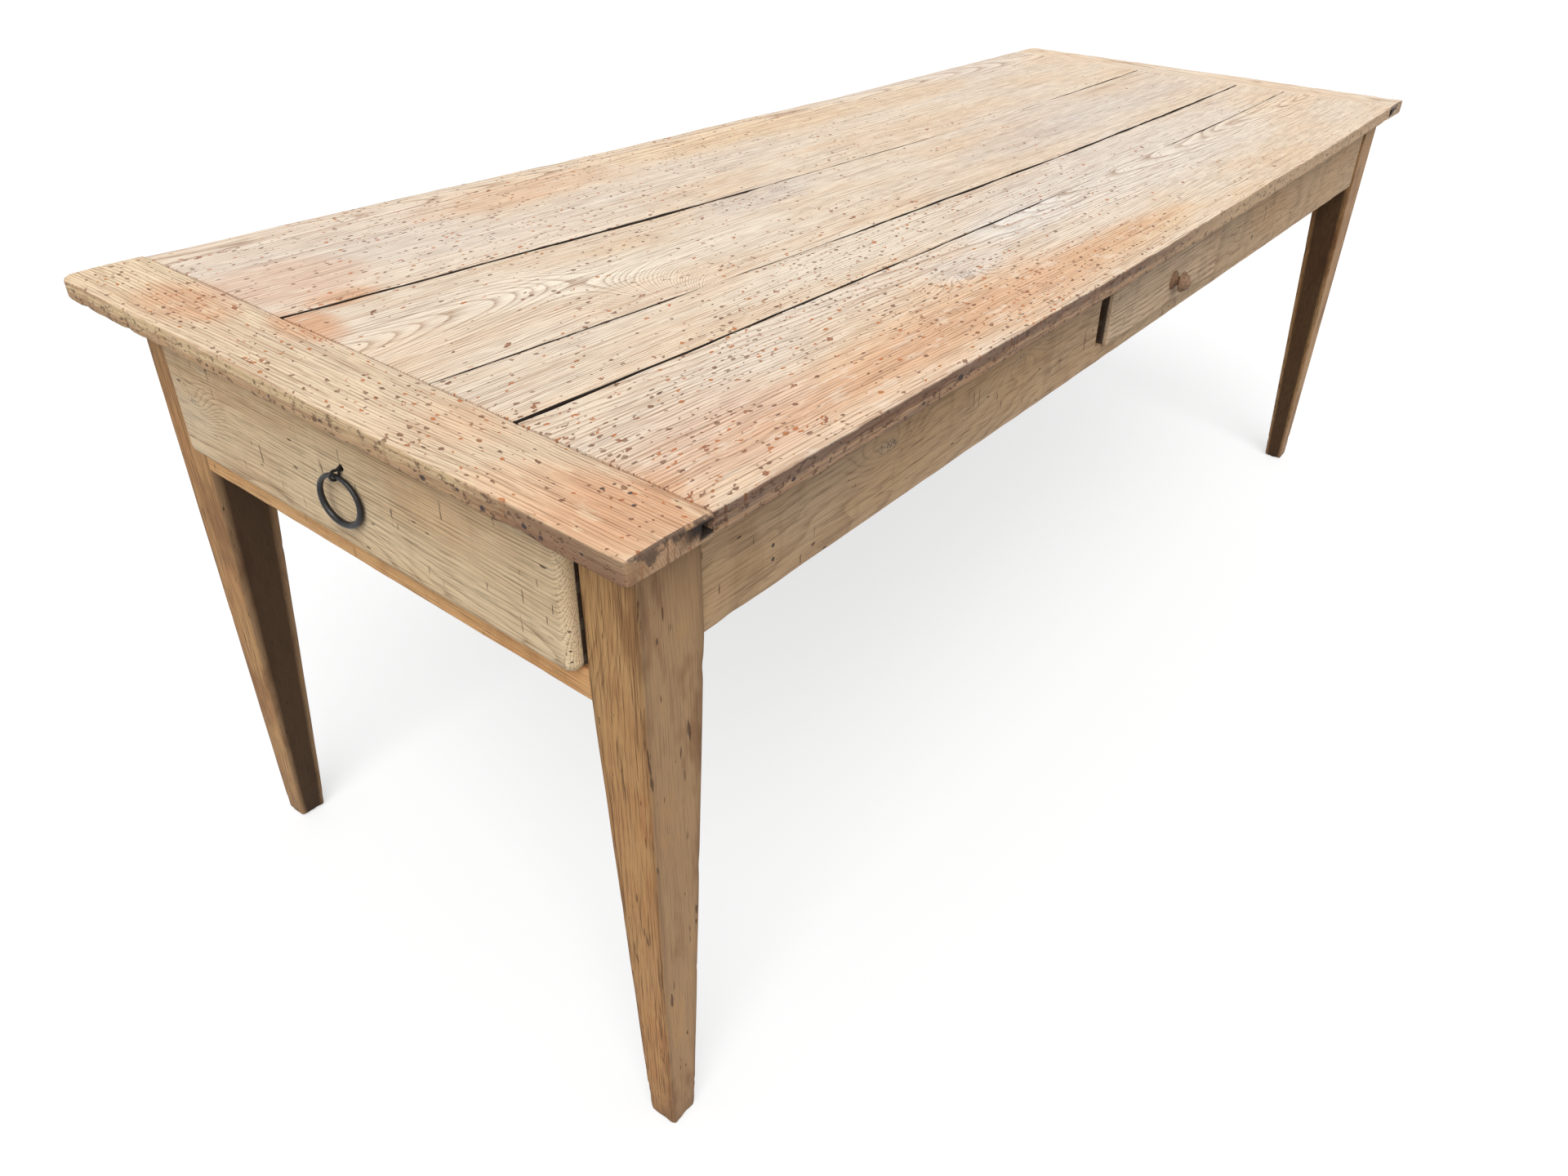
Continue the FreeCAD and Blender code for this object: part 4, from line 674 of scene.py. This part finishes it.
def make_plank(node, seed, near_outer, far_outer, material):
    """A board of the top: cupped, worn on its open edges, dark in its joints, tongued at both ends."""
    outline = Outline(across=17, through=3)
    along, _ = stations(SHOULDER_LEFT, SHOULDER_RIGHT, 0.005)
    near, far = edge_line(node, -1)(along), edge_line(node, 1)(along)
    near = near + np.abs(wander(along, seed + 1, 0.09)) * (0.0003 if near_outer else 0.0002)
    far = far - np.abs(wander(along, seed + 2, 0.09)) * 0.0002
    if near_outer:
        near = near + dents(along, seed + 3, 0.14, 0.009, 0.0016)
    near_round, far_round = (
        uneven(along, radius, seed + 4 + side, 0.12) + dents(along, seed + 6 + side, 0.10, 0.006, 0.0016)
        for side, radius in enumerate((NEAR_ROUND if near_outer else JOINT_ROUND,
                                       FAR_ROUND if far_outer else JOINT_ROUND)))
    low_round = uneven(along, LOWER_ROUND, seed + 8, 0.06, 0.0006)
    rings = outline.rings("xyz", along, near, far, UNDER, TOP, (low_round, far_round, near_round, low_round))
    cup = 0.0011 * (2 * outline.u - 1) ** 2 * (0.5 + 0.4 * wander(along, seed + 9, 0.8))[:, None]
    hollow = 0.0002 + cup + 0.00022 * (swell(rings, seed + 10, 0.07) + 1.6)
    rings[..., 2] -= (hollow * (outline.v > 0.5)).clip(0, DEEPEST_HOLLOW)

    side_near, side_far = outline.u == 0, outline.u == 1
    open_edge = (side_near & near_outer) | (side_far & far_outer)
    in_joint = (side_near & (not near_outer)) | (side_far & (not far_outer))
    down = outline.down()
    marks = {"joint": np.where(in_joint, down, 0.0), "edge": np.where(open_edge, down, 0.0),
             "worn": 4 * down * (1 - down), "painted_shade": 0.0 * down}
    marks = {mark: np.tile(numbers, (len(rings), 1)) for mark, numbers in marks.items()}
    low = near + (TONGUE_SETBACK if near_outer else -np.inf)
    high = far - (TONGUE_SETBACK if far_outer else -np.inf)
    rings = add_tongues(rings, marks, low, high)
    worn_piece(node, rings, marks, material)


def cut_groove(rings, outline, left):
    """Turns the four middle points of a breadboard's side at the seam into its groove, and returns them."""
    side = np.flatnonzero((outline.u == (1 if left else 0)) & ~outline.arc)
    mouth, bed = (LEFT_SEAM, -GROOVE_DEPTH) if left else (RIGHT_SEAM, GROOVE_DEPTH)
    upward = side if left else side[::-1]
    for point, sign, into in zip(upward, (-1, -1, 1, 1), (0, 1, 1, 0)):
        rings[:, point, 2] = (TOP + UNDER) / 2 + sign * GROOVE_HALF
        rings[:, point, 0] = mouth + bed * into
    return side


def make_breadboard(node, seed, material):
    """A breadboard end with its through groove, its corners rounded in plan, its edges worn and chipped."""
    low, high = BOX[node]
    left = high.x < 0
    outline = Outline(across=9, through=4)
    along, inset = stations(low.y, high.y, 0.004, 0.0022, 0.0022)
    from_near, from_far = along - low.y, high.y - along
    draw_in = inset + np.abs(wander(along, seed + 1, 0.06)) * 0.0004
    draw_in = draw_in + dents(along, seed + 2, 0.10, 0.010, 0.0022)
    for away, radius in ((from_near, NEAR_CORNER_ROUND), (from_far, FAR_CORNER_ROUND)):
        draw_in = draw_in + radius - np.sqrt(radius ** 2 - (radius - away).clip(0, radius) ** 2)
    outer_low, outer_high = (low.x + draw_in, high.x) if left else (low.x, high.x - draw_in)
    blunt = 0.004 * np.exp(-from_far / 0.016)
    upper = uneven(along, CAP_UPPER_ROUND, seed + 3, 0.10, 0.0003) + blunt
    lower = uneven(along, CAP_LOWER_ROUND, seed + 5, 0.09, 0.0005) + blunt
    upper = upper + dents(along, seed + 4, 0.08, 0.007, 0.0024)
    lower = lower + dents(along, seed + 6, 0.06, 0.012, 0.005)
    radii = (SEAM_ROUND, SEAM_ROUND, upper, lower) if left else (lower, upper, SEAM_ROUND, SEAM_ROUND)
    rings = outline.rings("yxz", along, outer_low, outer_high, UNDER + inset, TOP - inset, radii)
    hollow = 0.0002 + 0.0005 * (2 * outline.u - 1) ** 2 + 0.00025 * (swell(rings, seed + 7, 0.06) + 1.6)
    rings[..., 2] -= (hollow * (outline.v > 0.5)).clip(0, DEEPEST_HOLLOW)

    side = cut_groove(rings, outline, left)
    outer, down = outline.u == (0 if left else 1), outline.down()
    at_end = np.minimum(from_near, from_far)[:, None] < 0.002
    in_groove = np.isin(np.arange(len(outline.u)), side)
    marks = {"joint": np.where(in_groove, 0.9, 0.0), "edge": np.where(outer, down, 0.0), "end": at_end * 1.0,
             "worn": 4 * down * (1 - down), "painted_shade": 0.0}
    worn_piece(node, rings, marks, material)


# The underframe.

ARRIS_ROUND = 0.0012


def make_leg(node, seed, material):
    """A leg: plumb outside, tapered on its two inner faces, its arrises and foot worn."""
    low, high = BOX[node]
    left, near = low.x < 0, low.y < 0
    taper_top = BOX["rail_left"][0].z if left else BOX["apron_near"][0].z
    apron_bottom = BOX["apron_near"][0].z
    outline = Outline(across=5, through=5)
    along, inset = stations(0.0, high.z, 0.006, FOOT_ROUND, 0.0)
    length = FOOT_LENGTH + (high.x - low.x - FOOT_LENGTH) * (along / apron_bottom).clip(0, 1)
    width = FOOT_WIDTH + (high.y - low.y - FOOT_WIDTH) * (along / taper_top).clip(0, 1)
    x_low, x_high = (low.x, low.x + length) if left else (high.x - length, high.x)
    y_low, y_high = (low.y, low.y + width) if near else (high.y - width, high.y)
    inset = inset + dents(along.clip(0, 0.05), seed + 1, 0.02, 0.008, 0.002) * (along < 0.05)
    radii = [uneven(along, ARRIS_ROUND, seed + 2 + corner, 0.10) + 0.003 * np.exp(-along / 0.012)
             + dents(along, seed + 12 + corner, 0.16, 0.008, 0.0022) for corner in range(4)]
    outer_corner = {(True, True): 3, (False, True): 0, (False, False): 1, (True, False): 2}[left, near]
    radii[outer_corner] = radii[outer_corner] + 0.0010
    rings = outline.rings("zxy", along, x_low + inset, x_high - inset, y_low + inset, y_high - inset, radii)
    ragged = 0.0016 * (swell(rings, seed + 30, 0.012) + 1.2).clip(0, 3) * np.exp(-rings[..., 2] / 0.006)
    rings[..., 2] += ragged * (rings[..., 2] < 0.02)

    # Across is X and through is Y here: the sides that face other legs, which get painted shade.
    inner_x, inner_y = outline.u == (1 if left else 0), outline.v == (1 if near else 0)
    foot_grime, arris = np.exp(-rings[..., 2] / 0.035), np.where(outline.arc, 0.24, 0.0)
    marks = {"joint": np.maximum(foot_grime * 0.3, arris), "edge": foot_grime * 0.5,
             "painted_shade": (inner_x | inner_y) & ~outline.arc, "worn": 0.0}
    worn_piece(node, rings, marks, material)


def make_beam(node, grain, seed, material, notch=None, gap=False):
    """A rail or apron between its shoulders, with softened arrises.

    A notch (start, stop, height of its bed) lowers the upper edge. A gap bares the tenon at the last end.
    """
    low, high = BOX[node]
    first, last = ((BOX["leg_near_left"][1].x, BOX["leg_near_right"][0].x) if grain == "x"
                   else (BOX["leg_near_left"][1].y, BOX["leg_far_left"][0].y))
    if gap:
        last -= APRON_SHRINKAGE
    outline = Outline(across=2, through=7)
    along, _ = stations(first, last, 0.006)
    if notch:
        start, stop, bed = notch
        along = np.sort(np.concatenate([along, [start, start, stop, stop]]))
    top = np.full(len(along), high.z)
    if notch:
        top[np.flatnonzero((along >= start) & (along <= stop))[1:-1]] = bed
    axes, across, side_low, side_high = (("xyz", 1, low.y, high.y) if grain == "x"
                                         else ("yxz", 0, low.x, high.x))
    radii = [uneven(along, ARRIS_ROUND, seed + corner, 0.07)
             + dents(along, seed + 5 + corner, 0.12, 0.008, 0.002) for corner in range(4)]
    rings = outline.rings(axes, along, side_low, side_high, low.z, top, radii)
    sink = 0.0002 * (swell(rings, seed + 9, 0.06) + 1.6).clip(0, 3)
    rings[..., across] += np.where(outline.u < 0.5, sink, -sink)
    if gap:
        step, middle = rings[-1].copy(), (side_low + side_high) / 2
        step[:, across] = step[:, across].clip(middle - TENON_HALF, middle + TENON_HALF)
        step[:, 2] = step[:, 2].clip(low.z + TENON_SHOULDER, high.z - TENON_HAUNCH)
        tenon = np.stack([step, step])
        tenon[1, :, 1 - across] = last + APRON_SHRINKAGE + 0.001
        rings = np.concatenate([rings, tenon])
    marks = {"joint": 0.0, "edge": 0.0, "painted_shade": 0.0, "worn": np.where(outline.arc, 0.4, 0.0)}
    worn_piece(node, rings, marks, material)


# Ring and knob.

def make_ring(material):
    """The forged ring: thicker towards its lowest point and a little uneven, hanging on its eye."""
    joint = JOINTS["ring_hinge"]
    centre, axle = Vector(joint["pos_m"]) - Vector((0, 0, RING_RADIUS)), Vector(joint["axis"]).normalized()
    turn, around = np.radians(np.arange(0, 360, 3)), np.radians(np.arange(0, 360, 15))
    swelling = ((1 - np.cos(turn)) / 2) ** 0.8
    wire = (RING_THIN + (RING_THICK - RING_THIN) * swelling)[:, None] * np.ones(len(around))
    wire = wire * (0.985 + 0.012 * np.sin(5 * turn[:, None] + 2 * around) * np.cos(3 * turn[:, None]))
    up, sideways, axis = np.array((0.0, 0.0, 1.0)), np.array(axle), np.array(axle.cross(Vector((0, 0, 1))))
    outward = np.cos(turn)[:, None] * up + np.sin(turn)[:, None] * sideways
    reach = RING_RADIUS + wire * np.cos(around)
    rings = np.array(centre) + outward[:, None, :] * reach[..., None]
    rings = rings + axis * (wire * np.sin(around))[..., None]
    rows, count = rings.shape[:2]
    index = np.arange(rows * count).reshape(rows, count)
    beside = np.roll(index, -1, 1)
    quads = np.stack([index, beside, np.roll(beside, -1, 0), np.roll(index, -1, 0)], -1)
    mesh = bpy.data.meshes.new("forged_ring")
    mesh.from_pydata(rings.reshape(-1, 3).tolist(), [], quads.reshape(-1, 4).tolist())
    finish_piece("forged_ring", mesh, material, "pull_ring", sharp=60)


def make_knob(material):
    """The turned knob: base, cove, round head with a groove, and a small button."""
    low, high = BOX["side_drawer_knob"]
    front = BOX["side_drawer_front"][0].y
    centre_x, centre_z = (low.x + high.x) / 2, (low.z + high.z) / 2
    # Distance out from the drawer front, and radius there.
    base = [(-0.004, 0.0050), (0.0, 0.0050), (0.0, 0.0119), (0.0008, 0.0124), (0.0022, 0.0122)]
    cove = [(0.0027, 0.0105), (0.0036, 0.0080), (0.0052, 0.0062), (0.0072, 0.0055), (0.0088, 0.0062)]
    head = [(0.0102, 0.0092), (0.0110, 0.0124), (0.0118, 0.0137), (0.0128, 0.0140), (0.0140, 0.0134)]
    groove = [(0.0146, 0.0121), (0.0150, 0.0115), (0.0156, 0.0117)]
    crown = [(0.0172, 0.0110), (0.0190, 0.0096), (0.0202, 0.0079), (0.0206, 0.0056)]
    button = [(0.0214, 0.0044), (0.0226, 0.0040), (0.0234, 0.0034), (0.0239, 0.0022), (0.0240, 0.0004)]
    profile = np.array(base + cove + head + groove + crown + button)
    turn = np.radians(np.arange(0, 360, 6))
    rings = np.empty((len(profile), len(turn), 3))
    rings[..., 0] = centre_x + profile[:, 1:] * np.cos(turn)
    rings[..., 1] = front - profile[:, :1]
    rings[..., 2] = centre_z + profile[:, 1:] * np.sin(turn)
    finish_piece("turned_knob", skin("turned_knob", rings, {}), material, "side_drawer_knob", sharp=50)


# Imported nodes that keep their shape.

def dress(node, material, bevel=0.0006):
    """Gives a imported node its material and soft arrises."""
    thing = frame["nodes"][node]
    thing.data.materials.clear()
    thing.data.materials.append(material)
    if bevel:
        soft = thing.modifiers.new("soft_arrises", "BEVEL")
        soft.width, soft.segments, soft.limit_method, soft.angle_limit = bevel, 2, "ANGLE", math.radians(35)


def lengthwise(node):
    """The axis that a board's grain follows, its longest."""
    low, high = BOX[node]
    return "xyz"[max(range(3), key=lambda axis: high[axis] - low[axis])]


# The table.

# Holes: a place, across and up or on the face, and a radius.
NEAR_EDGE_HOLES = [(-0.600, 0.748, 0.0060), (-0.660, 0.744, 0.0040), (-0.210, 0.750, 0.0035),
                   (0.200, 0.748, 0.0035), (-0.840, 0.746, 0.0035), (0.520, 0.747, 0.0040)]
CAP_EDGE_HOLES = [(-0.313, 0.744, 0.0032), (-0.354, 0.748, 0.0028), (-0.295, 0.746, 0.0034),
                  (-0.046, 0.747, 0.0030), (-0.073, 0.759, 0.0024), (-0.063, 0.759, 0.0020),
                  (-0.250, 0.744, 0.0036), (-0.223, 0.749, 0.0028), (-0.180, 0.743, 0.0040),
                  (0.030, 0.745, 0.0024), (0.130, 0.744, 0.0028), (0.325, 0.748, 0.0024)]
CAP_HOLES = [(-0.958, -0.315, 0.0022), (-0.948, -0.317, 0.0018), (-0.950, -0.335, 0.0020),
             (-0.960, -0.349, 0.0022)]
APRON_HOLES = [(-0.806, 0.650, 0.0026), (-0.806, 0.636, 0.0026), (0.366, 0.642, 0.004), (0.404, 0.679, 0.003),
               (0.552, 0.640, 0.003)]

# Knots: a place on the face, a reach and a spread, and how far the rings swell round it.
NEAR_KNOTS = [(-0.388, -0.271, 0.050, 0.020, 0.020)]
FAR_MIDDLE_KNOTS = [(-0.372, 0.100, 0.045, 0.014, 0.018), (-0.27, 0.085, 0.06, 0.02, -0.010)]
APRON_KNOTS = [(-0.640, 0.677, 0.050, 0.022, 0.012), (-0.385, 0.682, 0.040, 0.018, -0.010)]
DRAWER_KNOTS = [(0.262, 0.655, 0.035, 0.022, 0.016)]

make_plank("plank_near", 10, True, False, oak(
    "oak_near_plank", "x", SCRUBBED, 1, pith=(-0.20, 0.690), lean=(0.03, -0.03), ring=0.0034, specks=1.0,
    pits=0.05, knots=NEAR_KNOTS, edge=NEAR_EDGE, edge_holes=NEAR_EDGE_HOLES,
    edge_shade=(-0.24, 0.12, (222, 190, 152)), stains=TOP_STAINS))
make_plank("plank_near_middle", 40, False, False, oak(
    "oak_near_middle_plank", "x", SCRUBBED, 2, pith=(-0.28, 0.70), lean=(0.02, 0.02), ring=0.0032, specks=1.0,
    pits=0.05, stains=TOP_STAINS))
make_plank("plank_far_middle", 70, False, False, oak(
    "oak_far_middle_plank", "x", SCRUBBED, 3, pith=(0.032, 0.620), lean=(0.00, 0.120), ring=0.0038,
    specks=0.45, pits=0.04, knots=FAR_MIDDLE_KNOTS, blend=(-0.74, -0.56, 1.1, 0.070), stains=TOP_STAINS))
make_plank("plank_far", 100, False, True, oak(
    "oak_far_plank", "x", SCRUBBED, 4, pith=(0.36, 0.69), lean=(0.015, 0.02), ring=0.0034, specks=0.7,
    pits=0.05, stains=TOP_STAINS))
make_breadboard("breadboard_left", 130, oak(
    "oak_left_breadboard", "y", CAP, 5, pith=(-1.10, 0.69), lean=(0.01, 0.02), ring=0.0033, specks=0.85,
    pits=0.10, holes=CAP_HOLES, edge=CAP_EDGE, edge_holes=CAP_EDGE_HOLES,
    edge_shade=(-0.20, -0.31, (120, 86, 70)), stains=TOP_STAINS))
make_breadboard("breadboard_right", 160, oak(
    "oak_right_breadboard", "y", SCRUBBED, 6, pith=(0.98, 0.70), lean=(0.01, 0.02), ring=0.0036, specks=0.1,
    pits=0.05, edge=CAP_EDGE, stains=TOP_STAINS))

for number, leg in enumerate(("leg_near_left", "leg_far_left", "leg_near_right", "leg_far_right")):
    middle = (BOX[leg][0] + BOX[leg][1]) / 2
    make_leg(leg, 200 + 40 * number, oak(
        "oak_" + leg, "z", LEG, 7 + number, pith=(middle.x + 0.09, middle.y + 0.07), lean=(0.02, 0.03),
        ring=0.0024, pits=0.05, lines=0.62, face="xz", dashes=0.65, smoke=0.55, y_side_light=0.7))

make_beam("apron_near", "x", 400, oak(
    "oak_near_apron", "x", APRON, 12, pith=(-0.16, 0.60), lean=(0.02, 0.03), ring=0.0026, pits=0.05,
    face="xz", lines=0.5, dashes=0.45, smoke=0.2, knots=APRON_KNOTS, holes=APRON_HOLES),
    notch=(NOTCH_LEFT, NOTCH_RIGHT, BOX["apron_near"][0].z + SILL_HEIGHT), gap=True)
make_beam("apron_far", "x", 420, oak(
    "oak_far_apron", "x", APRON, 13, pith=(0.52, 0.60), ring=0.0028, lines=0.6))
make_beam("apron_right", "y", 440, oak(
    "oak_right_apron", "y", APRON, 14, pith=(0.80, 0.60), ring=0.0028, lines=0.6))
make_beam("rail_left", "y", 460, oak(
    "oak_rail", "y", RAIL, 15, pith=(-0.92, 0.50), ring=0.0030, lines=0.7, dashes=0.5, smoke=0.3))

# Painted shade on the drawers' flanks, for the dark gaps beside them: a front, its sliding axis, and where behind
# it the shade starts, fades and ends.
END_GAP_SHADE = "end_drawer_front", 0, 0.0125, 0.022, 0.048
SIDE_GAP_SHADE = "side_drawer_front", 1, 0.005, 0.020, 0.044

dress("end_drawer_front", oak(
    "oak_end_drawer_front", "y", DRAWER, 16, pith=(-0.90, 0.60), lean=(0.03, 0.03), ring=0.0026, pits=0.05,
    face="yz", lines=0.8, dashes=0.38, smoke=0.12, knots=DRAWER_KNOTS, gap_shade=END_GAP_SHADE), 0.0010)
dress("side_drawer_front", oak(
    "oak_side_drawer_front", "x", SIDE_DRAWER, 17, pith=(-0.27, 0.63), ring=0.0026, dashes=0.5, smoke=0.2,
    gap_shade=SIDE_GAP_SHADE), 0.0010)
inner = {grain: oak("oak_inner_" + grain, grain, INNER, 20 + number, ring=0.0045, pits=0.02)
         for number, grain in enumerate("xyz")}
end_flank = oak("oak_end_drawer_side", "x", INNER, 26, ring=0.0045, pits=0.02, gap_shade=END_GAP_SHADE)
side_flank = oak("oak_side_drawer_side", "y", INNER, 27, ring=0.0045, pits=0.02, gap_shade=SIDE_GAP_SHADE)
pegs, metal = oak("oak_pegs", "z", PEG, 24), iron("iron")
for node, slot in SLOT_OF.items():
    if node.startswith("end_drawer_side"):
        dress(node, end_flank)
    elif node.startswith("side_drawer_side"):
        dress(node, side_flank)
    elif slot == "inner_oak":
        dress(node, inner[lengthwise(node)])
    elif slot == "peg_oak":
        dress(node, pegs, 0)
    elif slot == "wrought_iron":
        dress(node, metal, 0.0002 if node == "ring_eye" else 0)
make_ring(metal)
make_knob(oak("oak_knob", "y", TURNED, 25, pith=(0.03, 0.66), ring=0.0030))

# Floor, light and camera.

WHITE = (1.0, 1.0, 1.0, 1.0)
HORIZON, ZENITH = 0.14, 0.75     # how strongly the sky lights the table from its edge and from above
FLOOR_SEEN, FLOOR_LIT, FLOOR_GLOW = 174, 120, 0.60
LAMP_PLACE, LAMP_SPREAD, LAMP_STRENGTH = (-2.3, -1.8, 2.8), 50, 2.54
CAMERA_PLACE, CAMERA_TURN = (-1.4248, -0.8531, 1.1658), (57.785, -1.695, -52.560)
LENS, SENSOR, SHIFT = 25.836, 36.0, (-0.02274, -0.03505)


def make_floor():
    """A wide pale floor that fades to white and keeps the table's shadow."""
    bpy.ops.mesh.primitive_plane_add(size=40, location=(0, 0, 0))
    floor = bpy.context.object
    floor.name = "floor"
    graph = Graph(bpy.data.materials.new("pale_floor"))
    seen = graph.background_ray()
    graph.feed("Base Color", graph.mix(seen, tone(*[FLOOR_LIT] * 3), tone(*[FLOOR_SEEN] * 3)))
    graph.feed("Roughness", 0.9)
    graph.feed("Specular IOR Level", 0.1)
    graph.feed("Emission Color", WHITE)
    graph.feed("Emission Strength", seen * FLOOR_GLOW)
    floor.data.materials.append(graph.owner)


def make_world():
    """Even soft light from all round, seen as white by the camera and in gloss."""
    world = bpy.data.worlds.new("studio")
    bpy.context.scene.world = world
    graph = Graph(world, "Background")
    sky = graph.blend(graph.axes("Generated")[2], HORIZON, ZENITH)
    graph.feed("Color", WHITE)
    graph.feed("Strength", graph.blend(graph.background_ray(), sky, 1.0))


def make_lamp():
    """A distant lamp like a window, as soft as its spread in degrees is wide."""
    light = bpy.data.lights.new("window", "SUN")
    light.angle, light.energy = math.radians(LAMP_SPREAD), LAMP_STRENGTH
    lamp = new_object("window", light)
    lamp.location = LAMP_PLACE
    lamp.rotation_euler = (-Vector(LAMP_PLACE)).to_track_quat("-Z", "Y").to_euler()


def make_camera():
    """The photograph's camera, found from the table's straight edges."""
    view = bpy.data.cameras.new("camera")
    view.sensor_width, view.sensor_fit, view.lens = SENSOR, "HORIZONTAL", LENS
    view.shift_x, view.shift_y = SHIFT
    camera = new_object("camera", view)
    camera.location = CAMERA_PLACE
    camera.rotation_euler = [math.radians(angle) for angle in CAMERA_TURN]
    bpy.context.scene.camera = camera


make_floor()
make_world()
make_lamp()
make_camera()
bpy.context.scene.view_settings.view_transform = "Standard"
